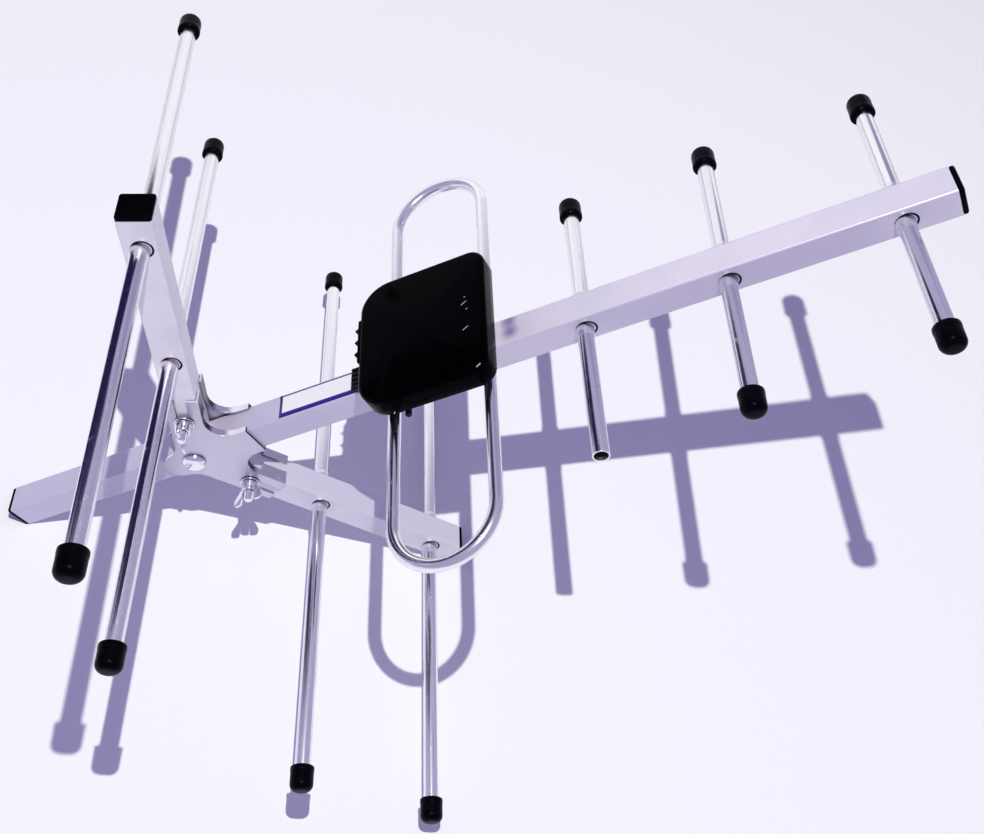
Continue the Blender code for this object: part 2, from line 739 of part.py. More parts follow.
def build_wing_nut(name, side, turn):
    """A wing nut on the near end of an arm bolt, its wings turned about the bolt."""
    seat = on_arm(side, ARM_BOLT_AT, NEAR * seat_height())
    placement = turned_along_y(seat, NEAR)
    hub = [(0, WING_HUB_HEIGHT), (WING_HUB_RADIUS * 0.84, WING_HUB_HEIGHT), (WING_HUB_RADIUS, 0.0015)]
    hub += [(WING_HUB_RADIUS, 0), (0, 0)]
    nut = turned(name, hub, placement, BOLT_STEPS, PARTS, ZINC)
    for number, flip in enumerate((0, math.pi)):
        direction = X_AXIS * math.cos(turn + flip) + Z_AXIS * math.sin(turn + flip)
        across = direction.cross(-Y_AXIS)
        mesh = outline_mesh(f"{name}_wing_{number}", [wing_outline()], WING_THICKNESS)
        join(nut, add_mesh(f"{name}_wing_{number}", mesh, axes(direction, -Y_AXIS, across, seat)))
    cut(nut, disc(name + "_bore", BOLT_RADIUS + BORE_GAP, -OVERSHOOT, WING_HEIGHT, placement, BOLT_STEPS))
    apply_modifiers(nut)
    smooth(nut)


def loop_path():
    """The dipole's centre line, from one end inside the box right round to the other."""
    middle = station(LOOP_FROM_REAR)
    straight = LOOP_HALF_SPAN - LOOP_RADIUS
    far_bend = arc((middle, LOOP_SIDEWAYS + straight), LOOP_RADIUS, math.pi, 0)
    near_bend = arc((middle, LOOP_SIDEWAYS - straight), LOOP_RADIUS, 0, -math.pi)
    start, end = (REAR_LEG, LOOP_SIDEWAYS + FEED_GAP / 2), (REAR_LEG, LOOP_SIDEWAYS - FEED_GAP / 2)
    return [start] + far_bend + near_bend + [end]


def build_dipole():
    height = BOOM_TOP + LOOP_ABOVE_BOOM
    curve = bpy.data.curves.new("folded_dipole", "CURVE")
    curve.dimensions = "3D"
    curve.bevel_depth = LOOP_DIAMETER / 2
    curve.bevel_resolution = 4
    spline = curve.splines.new("POLY")
    path = loop_path()
    spline.points.add(len(path) - 1)
    for point, (x, y) in zip(spline.points, path):
        point.co = (x, y, height, 1)
    mesh = welded_curve("folded_dipole", curve)
    dipole = add_mesh("folded_dipole", mesh, Matrix.Identity(4), PARTS, BRIGHT_TUBE)
    shell = dipole.modifiers.new("wall", "SOLIDIFY")
    shell.thickness = LOOP_WALL
    shell.offset = -1
    shell.use_even_offset = True
    apply_modifiers(dipole)
    return dipole


def box_outline(inset):
    """The feed box's outline seen from above: big rear corners, small front ones."""
    rear = BOX_REAR + inset
    front = BOX_FRONT - inset
    far = BOX_SIDEWAYS + BOX_HALF_WIDTH - inset
    near = BOX_SIDEWAYS - BOX_HALF_WIDTH + inset
    rear_corner = BOX_REAR_CORNER - inset
    front_corner = BOX_FRONT_CORNER - inset
    return filleted([(front, near, front_corner), (front, far, front_corner),
                     (rear, far, rear_corner), (rear, near, rear_corner)])


def box_layer(name, insets, low, high, group=None, finish=None):
    """The box's outline, or a ring of it, between two heights."""
    mesh = outline_mesh(name, [box_outline(inset) for inset in insets], high - low)
    return add_mesh(name, mesh, upright((0, 0, (low + high) / 2)), group, finish)


def box_screw_places():
    return BOX_MIDDLE - BOX_SCREW_SPACING / 2, BOX_MIDDLE + BOX_SCREW_SPACING / 2


BASE_LOW = BOOM_TOP + GAP
LID_LOW = BOOM_TOP + BOX_ABOVE_BOOM
BASE_TOP = LID_LOW + BOX_WALL
LID_RIM_TOP = LID_LOW + LID_RIM_HEIGHT
LEG_HEIGHT = BOOM_TOP + LOOP_ABOVE_BOOM
BOX_NEAR_SIDE = BOX_SIDEWAYS - BOX_HALF_WIDTH
INLET = Vector((BOX_REAR + INLET_FROM_BOX_REAR, BOX_NEAR_SIDE + INLET_FROM_EDGE, LEG_HEIGHT))


def board_posts():
    """Places of the four posts that carry the board."""
    dx = BOARD_LENGTH / 2 - BOARD_POST_INSET
    dy = BOARD_WIDTH / 2 - BOARD_POST_INSET
    return [(BOX_MIDDLE + sx * dx, LOOP_SIDEWAYS + sy * dy) for sx in (-1, 1) for sy in (-1, 1)]


def build_box_base():
    """A flat plate inside the lid's rim, on a foot that straddles the boom's top."""
    base = box_layer("feed_box_base", [BOX_WALL + GAP], LID_LOW, BASE_TOP, PARTS, GLOSS_BLACK)
    root = LID_LOW + BOX_WALL / 2
    join_foot(base, root)
    tunnel = turned_along_y(Vector((REAR_LEG, BOX_SIDEWAYS, LEG_HEIGHT)))
    join(base, disc("tunnel", TUNNEL_RADIUS, -TUNNEL_HALF_WIDTH, TUNNEL_HALF_WIDTH, tunnel))
    ends = BOX_SIDEWAYS - TUNNEL_HALF_WIDTH + GAP, BOX_SIDEWAYS + TUNNEL_HALF_WIDTH - GAP
    web = TUNNEL_RADIUS - GAP
    join(base, block("tunnel_web", (REAR_LEG - web, ends[0], LEG_HEIGHT), (REAR_LEG + web, ends[1], root)))
    boss = turned_along_y(INLET, FAR)
    join(base, disc("inlet_boss", INLET_BOSS_RADIUS, 0, INLET_BOSS_LENGTH, boss))
    width = INLET_BOSS_RADIUS * 0.7
    join(base, block("inlet_web", (INLET.x - width, INLET.y + GAP, INLET.z),
                     (INLET.x + width, INLET.y + INLET_BOSS_LENGTH - GAP, root)))
    for x, y in board_posts():
        join(base, disc("post", BOARD_POST_RADIUS, root, BASE_TOP + BOARD_POST, upright((x, y, 0))))
    for x in (REAR_LEG, FRONT_LEG):
        place = turned_along_y(Vector((x, BOX_SIDEWAYS, LEG_HEIGHT)))
        cut(base, disc("leg_tunnel", LOOP_DIAMETER / 2 + GAP, -BOX_HALF_WIDTH, BOX_HALF_WIDTH, place))
    half = LOOP_DIAMETER / 2 - LOOP_WALL
    cut(base, block("feed_window", (REAR_LEG - half, LOOP_SIDEWAYS - FEED_WINDOW, LEG_HEIGHT),
                    (REAR_LEG + half, LOOP_SIDEWAYS + FEED_WINDOW, BASE_TOP + OVERSHOOT)))
    for x in box_screw_places():
        hole = BOX_SCREW_RADIUS + BORE_GAP
        cut(base, disc("base_screw_hole", hole, BOOM_HALF, BASE_TOP + OVERSHOOT, upright((x, 0, 0))))
    cut(base, disc("inlet_hole", INLET_NECK + GAP, -OVERSHOOT, INLET_BOSS_LENGTH + OVERSHOOT, boss))
    apply_modifiers(base)


def join_foot(base, root):
    """The foot on the boom: a hollow block, open below, with a ribbed tongue behind it."""
    half = TONGUE_HALF_WIDTH
    tongue_rear = BOX_REAR - TONGUE_REACH
    tongue_top = BASE_LOW + TONGUE_THICKNESS
    rib_low = BASE_LOW + TONGUE_THICKNESS / 2
    rib_front = BOX_REAR + BOX_WALL * 2.5
    join(base, block("foot", (BOX_REAR + BOX_WALL * 2, -half, BASE_LOW), (FRONT_LEG, half, root)))
    join(base, block("tongue", (tongue_rear, GAP - half, BASE_LOW),
                     (BOX_REAR + BOX_WALL * 3, half - GAP, tongue_top)))
    pitch = 2 * half / TONGUE_RIBS
    for number in range(TONGUE_RIBS):
        y = (number - (TONGUE_RIBS - 1) / 2) * pitch
        join(base, block("tongue_rib", (tongue_rear + GAP, y - pitch / 4, rib_low),
                         (rib_front, y + pitch / 4, tongue_top + TONGUE_RIB)))
    hollow_rear = REAR_LEG + TUNNEL_RADIUS + FOOT_WALL
    hollow_front = FRONT_LEG - LOOP_DIAMETER / 2 - GAP - FOOT_WALL
    cut(base, block("foot_hollow", (hollow_rear, FOOT_WALL - half, BASE_LOW - OVERSHOOT),
                    (hollow_front, half - FOOT_WALL, LID_LOW)))
    for x in box_screw_places():
        join(base, disc("screw_pillar", BOX_SCREW_HEAD, BASE_LOW, root, upright((x, 0, 0))))


def build_box_lid():
    """A cover with a rounded top; a ledge inside its rim rests on the base plate."""
    lid = lid_shell("feed_box_lid", 0, LID_LOW, LID_RIM_TOP, LID_ROUND, PARTS, GLOSS_BLACK)
    inside = BOX_WALL + LID_LEDGE
    top = LID_RIM_TOP - BOX_WALL * 0.4
    cut(lid, lid_shell("lid_pocket", inside, LID_LOW, top, LID_ROUND - BOX_WALL * 0.5))
    cut(lid, box_layer("lid_rebate", [BOX_WALL], LID_LOW - OVERSHOOT, BASE_TOP + GAP))
    middle = BOX_SIDEWAYS + GRIP_SIDEWAYS
    low = LID_RIM_TOP - GRIP_HEIGHT / 2
    high = LID_RIM_TOP + GRIP_HEIGHT / 2
    pad_face = BOX_REAR - GRIP_REACH
    join(lid, block("grip", (pad_face, middle - GRIP_HALF_WIDTH, low),
                    (BOX_REAR + BOX_WALL * 0.8, middle + GRIP_HALF_WIDTH, high), bevel=GRIP_EDGE))
    for number in (-1, 0, 1):
        y = middle + number * GRIP_PITCH
        join(lid, block("grip_tooth", (pad_face - GRIP_TOOTH, y - GRIP_TOOTH, low + GRIP_TOOTH / 2),
                        (pad_face + GRIP_REACH / 2, y + GRIP_TOOTH, high - GRIP_TOOTH / 2)))
    apply_modifiers(lid)
    smooth(lid, math.radians(40))


def lid_shell(name, inset, low, rim_top, radius, group=None, finish=None):
    """A solid with the box's outline, a rounded top edge and a shallow crown."""
    shell = box_layer(name, [inset], low, rim_top, group, finish)
    work = bmesh.new()
    work.from_mesh(shell.data)
    top = [face for face in work.faces if face.normal.z > 0.9]
    bmesh.ops.dissolve_faces(work, faces=top)
    top = [face for face in work.faces if face.normal.z > 0.9]
    angles = [math.radians(a) for a in (0, 30, 60, 85)]
    for first, second in zip(angles, angles[1:]):
        inward = radius * (math.cos(first) - math.cos(second))
        rise = radius * (math.sin(second) - math.sin(first))
        bmesh.ops.inset_region(work, faces=top, thickness=inward, depth=rise, use_even_offset=True)
    bmesh.ops.poke(work, faces=top, offset=LID_CROWN)
    bmesh.ops.recalc_face_normals(work, faces=work.faces)
    work.to_mesh(shell.data)
    work.free()
    return shell


def build_inlet():
    """A soft blank nipple in the boss where a cable would enter."""
    reach = INLET_NOSE_REACH
    inner = -INLET_BOSS_LENGTH - GAP
    flange = INLET_NECK + 0.0008
    profile = [
        (0, reach),
        (INLET_NOSE * 0.6, reach),
        (INLET_NOSE, reach - 0.0008),
        (INLET_NOSE, GAP),
        (INLET_NECK, GAP),
        (INLET_NECK, inner),
        (flange, inner),
        (flange, inner - 0.0010),
        (0, inner - 0.0010),
    ]
    turned("cable_inlet", profile, turned_along_y(INLET, NEAR), BOLT_STEPS, PARTS, SOFT_BLACK)


def screw_profile(radius, head_radius, head_height, length):
    """A pan-headed screw about local Z, with the underside of its head at zero."""
    return [
        (0, head_height),
        (head_radius * 0.7, head_height),
        (head_radius, head_height * 0.5),
        (head_radius, 0),
        (radius, 0),
        (radius, -length),
        (0, -length - radius),
    ]


def build_box_screws():
    length = BASE_TOP - BOOM_TOP + BOOM_WALL + SCREW_BITE
    profile = screw_profile(BOX_SCREW_RADIUS, BOX_SCREW_HEAD, BOX_WALL, length)
    for label, x in zip(("rear", "front"), box_screw_places()):
        seat = upright((x, 0, BASE_TOP + GAP))
        turned(f"box_{label}_screw", profile, seat, BOLT_STEPS, PARTS, ZINC)


def build_feed_board(dipole):
    """The matching board on its posts, with what is soldered and screwed to it."""
    middle = BOX_MIDDLE
    low = BASE_TOP + BOARD_POST + GAP
    high = low + BOARD_THICKNESS
    half_length, half_width = BOARD_LENGTH / 2, BOARD_WIDTH / 2
    block("matching_board", (middle - half_length, LOOP_SIDEWAYS - half_width, low),
          (middle + half_length, LOOP_SIDEWAYS + half_width, high), PARTS, BOARD_GREEN)
    core_place = upright((middle + 0.006, LOOP_SIDEWAYS + 0.010, high + GAP))
    ring = [(CORE_RADIUS, CORE_HEIGHT), (CORE_RADIUS, 0), (CORE_BORE, 0), (CORE_BORE, CORE_HEIGHT)]
    turned("balun_core", ring, core_place, BOLT_STEPS, PARTS, FERRITE, closed=True)
    length, width, height = TERMINAL_SIZE
    x, y = middle + 0.004, LOOP_SIDEWAYS - 0.012
    block("cable_terminal", (x - length / 2, y - width / 2, high + GAP),
          (x + length / 2, y + width / 2, high + GAP + height), PARTS, SOFT_BLACK, bevel=0.0005)
    build_feed_tabs(dipole, middle - half_length, high)


def build_feed_tabs(dipole, board_edge, board_top):
    """A strap each side from the board up to the dipole's end, with its screw."""
    low = LEG_HEIGHT + LOOP_DIAMETER / 2 + GAP
    foot = board_top + GAP
    bend = REAR_LEG + TAB_WIDTH / 2
    side_view = [
        (REAR_LEG - TAB_WIDTH / 2, low),
        (bend, low),
        (bend, foot),
        (board_edge + TAB_WIDTH, foot),
        (board_edge + TAB_WIDTH, foot + TAB_THICKNESS),
        (bend - TAB_THICKNESS, foot + TAB_THICKNESS),
        (bend - TAB_THICKNESS, low + TAB_THICKNESS),
        (REAR_LEG - TAB_WIDTH / 2, low + TAB_THICKNESS),
    ]
    for label, side in (("near", NEAR), ("far", FAR)):
        y = LOOP_SIDEWAYS + side * (FEED_GAP / 2 + TAB_WIDTH / 2 + 0.001)
        strap = outline_mesh(f"{label}_feed_strap", [side_view], TAB_WIDTH)
        strap = add_mesh(f"{label}_feed_strap", strap, side_on(Vector((0, y, 0))), PARTS, BRASS)
        seat = upright((REAR_LEG, y, low + TAB_THICKNESS + GAP))
        hole = TAB_SCREW_RADIUS + BORE_GAP
        cut(strap, disc("strap_hole", hole, -OVERSHOOT, OVERSHOOT, seat, BOLT_STEPS))
        apply_modifiers(strap)
        cut(dipole, disc("feed_hole", hole, -LOOP_DIAMETER / 2 - GAP, OVERSHOOT, seat, BOLT_STEPS))
        length = LOOP_DIAMETER / 2 - LOOP_WALL
        profile = screw_profile(TAB_SCREW_RADIUS, TAB_SCREW_HEAD, TAB_SCREW_HEAD_HEIGHT, length)
        turned(f"{label}_strap_screw", profile, seat, BOLT_STEPS, PARTS, ZINC)
    apply_modifiers(dipole)
    smooth(dipole, math.radians(50))


clear_scene()
PARTS = make_collection("outdoor_tv_antenna")
CUTTERS = make_collection("cutters")
build_boom()
build_directors()
build_reflectors()
build_plate("near_clamp_plate", NEAR, NEAR_FLANGE_DEPTH)
build_plate("far_clamp_plate", FAR, FAR_FLANGE_DEPTH)
build_boom_bolt()
build_arm_bolts()
build_wing_nut("upper_wing_nut", UP, UPPER_WING_TURN)
build_wing_nut("lower_wing_nut", DOWN, LOWER_WING_TURN)
DIPOLE = build_dipole()
build_box_base()
build_box_lid()
build_inlet()
build_box_screws()
build_feed_board(DIPOLE)
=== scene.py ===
"""Looks of an outdoor television antenna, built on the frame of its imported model.

Metres, +Z up.  +X runs along the boom towards the directors and +Y along the elements.
Round tubes, caps, the dipole loop and the feed box cover are modelled on the frame's
own centre lines.  Every other frame node is shown through a copy with broken edges.
"""

import json
import logging
import math
from dataclasses import dataclass
from enum import Enum
from typing import Protocol, Sequence

import bmesh
import bpy
import numpy as np
from mathutils import Matrix, Vector


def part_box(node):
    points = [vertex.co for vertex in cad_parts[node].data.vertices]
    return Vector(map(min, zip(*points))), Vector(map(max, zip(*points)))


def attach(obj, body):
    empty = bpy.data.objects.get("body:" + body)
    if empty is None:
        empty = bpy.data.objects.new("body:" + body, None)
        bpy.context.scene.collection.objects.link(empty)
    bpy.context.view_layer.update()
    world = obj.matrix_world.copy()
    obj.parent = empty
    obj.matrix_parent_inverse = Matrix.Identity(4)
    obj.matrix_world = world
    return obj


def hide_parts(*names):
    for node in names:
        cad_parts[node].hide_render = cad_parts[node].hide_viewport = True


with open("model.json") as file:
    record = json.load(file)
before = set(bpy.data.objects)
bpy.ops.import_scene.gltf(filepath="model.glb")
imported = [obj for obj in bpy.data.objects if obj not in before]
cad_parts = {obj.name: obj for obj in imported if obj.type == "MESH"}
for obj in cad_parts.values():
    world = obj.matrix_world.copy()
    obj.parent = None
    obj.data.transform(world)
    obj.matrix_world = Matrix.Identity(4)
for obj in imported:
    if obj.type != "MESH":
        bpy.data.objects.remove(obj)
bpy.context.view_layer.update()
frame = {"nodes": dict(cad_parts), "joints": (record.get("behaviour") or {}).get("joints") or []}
LOG = logging.getLogger("antenna")

X_AXIS = Vector((1, 0, 0))
Y_AXIS = Vector((0, 1, 0))
Z_AXIS = Vector((0, 0, 1))
GAP = 0.0003                    # between faces that touch on the real object
FRAME_BODY = "antenna"
TUBE_SEGMENTS = 48
SMALL_SEGMENTS = 32
EDGE_SEGMENTS = 2
ARM_ANGLE = math.radians(62.7)
BOOM_TOP = 0.020

Colour = tuple[float, float, float]
Corner = tuple[float, float, float]
Point = tuple[float, float]
Profile = Sequence[Point]
Feed = float | Sequence[float] | bpy.types.NodeSocket


class Side(Enum):
    """Which side of the boom a thing is on, along Y."""

    NEAR = -1
    FAR = 1


class Arm(Enum):
    """The two reflector arms, by the way they lean in Z."""

    UPPER = 1
    LOWER = -1


class Sheet:
    """Adds nodes to one node tree, wires them and lays them out."""

    def __init__(self, tree: bpy.types.NodeTree) -> None:
        """Start on a tree.

        Args:
            tree: the material, world, light or group tree to fill.
        """
        self.tree = tree

    def add(self, kind: str, settings: dict | None = None, **inputs: Feed) -> bpy.types.Node:
        """Add a node.

        Args:
            kind: the node's type name.
            settings: attributes to set on it.
            inputs: values or output sockets, by socket name with underscores, or by
                "in" and a number.

        Returns:
            The new node.
        """
        node = self.tree.nodes.new(kind)
        for key, value in (settings or {}).items():
            setattr(node, key, value)
        for key, value in inputs.items():
            by_number = key.startswith("in") and key[2:].isdigit()
            socket = node.inputs[int(key[2:])] if by_number else node.inputs[key.replace("_", " ")]
            self.feed(socket, value)
        node.location = (220 * len(self.tree.nodes) % 1760, -180 * (len(self.tree.nodes) // 8))
        return node

    def feed(self, socket: bpy.types.NodeSocket, value: Feed) -> None:
        """Give a socket a value or join an output socket to it.

        Args:
            socket: the input socket.
            value: a number, a colour, a vector or an output socket.
        """
        if isinstance(value, bpy.types.NodeSocket):
            self.tree.links.new(value, socket)
        elif socket.type == "RGBA" and len(value) == 3:
            socket.default_value = (*value, 1.0)
        else:
            socket.default_value = value

    def maths(
        self, operation: str, first: Feed, second: Feed = 0.0, clamp: bool = False
    ) -> bpy.types.NodeSocket:
        """Add a Math node.

        Args:
            operation: its operation.
            first: the first value or socket.
            second: the second value or socket.
            clamp: keep the result between 0 and 1.

        Returns:
            The node's output socket.
        """
        settings = {"operation": operation, "use_clamp": clamp}
        return self.add("ShaderNodeMath", settings, in0=first, in1=second).outputs[0]

    def ramp(
        self, value: Feed, low: float, high: float, to_low: float = 0.0, to_high: float = 1.0
    ) -> bpy.types.NodeSocket:
        """Map a value from one range to another, kept inside the second.

        Args:
            value: the socket to map.
            low: where the first range starts.
            high: where it ends.
            to_low: what low becomes.
            to_high: what high becomes.

        Returns:
            The mapped socket.
        """
        limits = {"in1": low, "in2": high, "in3": to_low, "in4": to_high}
        return self.add("ShaderNodeMapRange", {"clamp": True}, in0=value, **limits).outputs[0]

    def blend(self, factor: Feed, first: Feed, second: Feed) -> bpy.types.NodeSocket:
        """Mix two colours.

        Args:
            factor: how much of the second colour.
            first: the first colour.
            second: the second colour.

        Returns:
            The mixed colour's socket.
        """
        node = self.add("ShaderNodeMix", {"data_type": "RGBA"})
        self.feed(node.inputs[0], factor)
        self.feed(node.inputs[6], first)
        self.feed(node.inputs[7], second)
        return node.outputs[2]

    def noise(
        self, vector: Feed, scale: float, detail: float = 3.0, roughness: float = 0.55
    ) -> bpy.types.NodeSocket:
        """Add a noise texture.

        Args:
            vector: where it is read.
            scale: its scale.
            detail: how many octaves.
            roughness: how strong the fine octaves are.

        Returns:
            Its value socket.
        """
        values = {"Scale": scale, "Detail": detail, "Roughness": roughness}
        return self.add("ShaderNodeTexNoise", None, Vector=vector, **values).outputs["Fac"]

    def stretched(
        self, vector: Feed, scale: tuple[float, float, float], turn: float = 0.0
    ) -> bpy.types.NodeSocket:
        """Turn a vector about Y and scale its axes.

        Args:
            vector: the vector socket.
            scale: a factor for each axis.
            turn: the angle about Y, in radians.

        Returns:
            The new vector's socket.
        """
        turned = self.add("ShaderNodeMapping", {"vector_type": "POINT"}, Vector=vector)
        turned.inputs["Rotation"].default_value = (0.0, turn, 0.0)
        scaled = self.add("ShaderNodeVectorMath", {"operation": "MULTIPLY"}, in0=turned.outputs[0])
        scaled.inputs[1].default_value = scale
        return scaled.outputs[0]


def make_group(
    name: str, inputs: Sequence[tuple[str, str, float]], outputs: Sequence[str]
) -> tuple[bpy.types.NodeTree, Sheet, bpy.types.Node, bpy.types.Node]:
    """Make an empty shader node group.

    Args:
        name: the group's name.
        inputs: name, socket type and starting value of each input.
        outputs: names of the value outputs.

    Returns:
        The group, a Sheet on it, its input node and its output node.
    """
    group = bpy.data.node_groups.new(name, "ShaderNodeTree")
    for label, kind, value in inputs:
        socket = group.interface.new_socket(label, in_out="INPUT", socket_type=kind)
        if kind == "NodeSocketFloat":
            socket.default_value = value
    for label in outputs:
        group.interface.new_socket(label, in_out="OUTPUT", socket_type="NodeSocketFloat")
    sheet = Sheet(group)
    return group, sheet, sheet.add("NodeGroupInput"), sheet.add("NodeGroupOutput")


def drawn_tube_group() -> bpy.types.NodeTree:
    """Lengthwise marks of a drawn round tube, read from its unrolled map.

    Returns:
        A group with the outputs Streaks, Fine and Pits.
    """
    inputs = [("Map", "NodeSocketVector", 0.0), ("Turns", "NodeSocketFloat", 6.0)]
    inputs.append(("Seed", "NodeSocketFloat", 0.0))
    group, sheet, given, result = make_group("drawn_tube_marks", inputs, ("Streaks", "Fine", "Pits"))
    parts = sheet.add("ShaderNodeSeparateXYZ", None, in0=given.outputs["Map"])
    angle = sheet.maths("MULTIPLY", parts.outputs[0], 2 * math.pi)
    around_x = sheet.maths("COSINE", angle)
    around_y = sheet.maths("SINE", angle)
    slow = sheet.maths("ADD", sheet.maths("MULTIPLY", parts.outputs[1], 2.2), given.outputs["Seed"])
    quick = sheet.maths("ADD", sheet.maths("MULTIPLY", parts.outputs[1], 60.0), given.outputs["Seed"])
    long_map = sheet.add("ShaderNodeCombineXYZ", None, in0=around_x, in1=around_y, in2=slow).outputs[0]
    short_map = sheet.add("ShaderNodeCombineXYZ", None, in0=around_x, in1=around_y, in2=quick).outputs[0]
    broad = sheet.add("ShaderNodeTexNoise", None, Vector=long_map, Scale=given.outputs["Turns"], Detail=3.0)
    fine_scale = sheet.maths("MULTIPLY", given.outputs["Turns"], 5.0)
    fine = sheet.add("ShaderNodeTexNoise", None, Vector=long_map, Scale=fine_scale, Detail=4.0, Roughness=0.7)
    pits = sheet.noise(short_map, 2.4, 4.0, 0.65)
    sheet.feed(result.inputs["Streaks"], sheet.ramp(broad.outputs["Fac"], 0.35, 0.65))
    sheet.feed(result.inputs["Fine"], fine.outputs["Fac"])
    sheet.feed(result.inputs["Pits"], sheet.ramp(pits, 0.62, 0.74))
    return group


def die_line_group() -> bpy.types.NodeTree:
    """Fine parallel lines and soft stains of an extruded or rolled face.

    Returns:
        A group with the outputs Lines, Stains and Scuffs.
    """
    inputs = [("Vector", "NodeSocketVector", 0.0), ("Grain", "NodeSocketVector", 0.0)]
    inputs.append(("Scale", "NodeSocketFloat", 1.0))
    group, sheet, given, result = make_group("die_lines_and_stains", inputs, ("Lines", "Stains", "Scuffs"))
    lines = sheet.noise(given.outputs["Grain"], 1.0, 4.0, 0.75)
    place = sheet.add("ShaderNodeVectorMath", {"operation": "SCALE"}, in0=given.outputs["Vector"])
    sheet.feed(place.inputs["Scale"], given.outputs["Scale"])
    stains = sheet.noise(place.outputs[0], 22.0, 4.0, 0.6)
    scuffs = sheet.noise(place.outputs[0], 130.0, 5.0, 0.7)
    sheet.feed(result.inputs["Lines"], lines)
    sheet.feed(result.inputs["Stains"], sheet.ramp(stains, 0.42, 0.70))
    sheet.feed(result.inputs["Scuffs"], sheet.ramp(scuffs, 0.56, 0.72))
    return group


def scratch_group() -> bpy.types.NodeTree:
    """Thin crossing scratches, broken into short runs.

    Returns:
        A group with the output Scratches.
    """
    inputs = [("Vector", "NodeSocketVector", 0.0), ("Scale", "NodeSocketFloat", 60.0)]
    inputs.append(("Width", "NodeSocketFloat", 0.004))
    group, sheet, given, result = make_group("short_scratches", inputs, ("Scratches",))
    found = None
    for turn, stretch in ((0.5, (1.0, 0.3, 0.06)), (-0.9, (0.08, 1.0, 0.7)), (1.7, (0.5, 0.09, 1.0))):
        vector = sheet.stretched(given.outputs["Vector"], stretch, turn)
        scale = given.outputs["Scale"]
        contour = sheet.add("ShaderNodeTexNoise", None, Vector=vector, Scale=scale, Detail=1.0)
        off_line = sheet.maths("ABSOLUTE", sheet.maths("SUBTRACT", contour.outputs["Fac"], 0.5))
        thin = sheet.maths("LESS_THAN", off_line, given.outputs["Width"])
        run = sheet.ramp(sheet.noise(given.outputs["Vector"], 95.0, 2.0), 0.58, 0.66)
        line = sheet.maths("MULTIPLY", thin, run)
        found = line if found is None else sheet.maths("MAXIMUM", found, line)
    sheet.feed(result.inputs["Scratches"], found)
    return group


def dust_group() -> bpy.types.NodeTree:
    """Dust that lies on faces looking up, thicker in patches, with single specks.

    Returns:
        A group with the outputs Film and Specks.
    """
    inputs = [("Vector", "NodeSocketVector", 0.0), ("Scale", "NodeSocketFloat", 1.0)]
    group, sheet, given, result = make_group("settled_dust", inputs, ("Film", "Specks"))
    facing = sheet.add("ShaderNodeNewGeometry").outputs["Normal"]
    up = sheet.ramp(sheet.add("ShaderNodeSeparateXYZ", None, in0=facing).outputs[2], 0.2, 0.95)
    place = sheet.add("ShaderNodeVectorMath", {"operation": "SCALE"}, in0=given.outputs["Vector"])
    sheet.feed(place.inputs["Scale"], given.outputs["Scale"])
    patches = sheet.ramp(sheet.noise(place.outputs[0], 40.0, 4.0), 0.40, 0.75)
    cells = sheet.add("ShaderNodeTexVoronoi", {"feature": "F1"}, Vector=place.outputs[0], Scale=300.0)
    dots = sheet.maths("LESS_THAN", cells.outputs["Distance"], 0.085)
    chosen = sheet.add("ShaderNodeSeparateColor", None, in0=cells.outputs["Color"])
    few = sheet.maths("GREATER_THAN", chosen.outputs[0], 0.90)
    sheet.feed(result.inputs["Film"], sheet.maths("MULTIPLY", up, patches))
    sheet.feed(result.inputs["Specks"], sheet.maths("MULTIPLY", dots, few))
    return group


def moulding_group() -> bpy.types.NodeTree:
    """Skin of a moulded plastic or rubber part: fine grain, waviness and rub marks.

    Returns:
        A group with the outputs Grain, Wave and Rubs.
    """
    inputs = [("Vector", "NodeSocketVector", 0.0), ("Scale", "NodeSocketFloat", 1.0)]
    group, sheet, given, result = make_group("moulded_skin", inputs, ("Grain", "Wave", "Rubs"))
    place = sheet.add("ShaderNodeVectorMath", {"operation": "SCALE"}, in0=given.outputs["Vector"])
    sheet.feed(place.inputs["Scale"], given.outputs["Scale"])
    sheet.feed(result.inputs["Grain"], sheet.noise(place.outputs[0], 2200.0, 3.0, 0.6))
    sheet.feed(result.inputs["Wave"], sheet.noise(place.outputs[0], 70.0, 2.0, 0.5))
    rubs = sheet.noise(sheet.stretched(place.outputs[0], (1.0, 0.4, 1.0)), 210.0, 5.0, 0.7)
    sheet.feed(result.inputs["Rubs"], sheet.ramp(rubs, 0.58, 0.74))
    return group


class Effects:
    """The shared node groups, each built once."""

    def __init__(self) -> None:
        """Build every group."""
        self.drawn_tube = drawn_tube_group()
        self.die_lines = die_line_group()
        self.scratches = scratch_group()
        self.dust = dust_group()
        self.moulding = moulding_group()


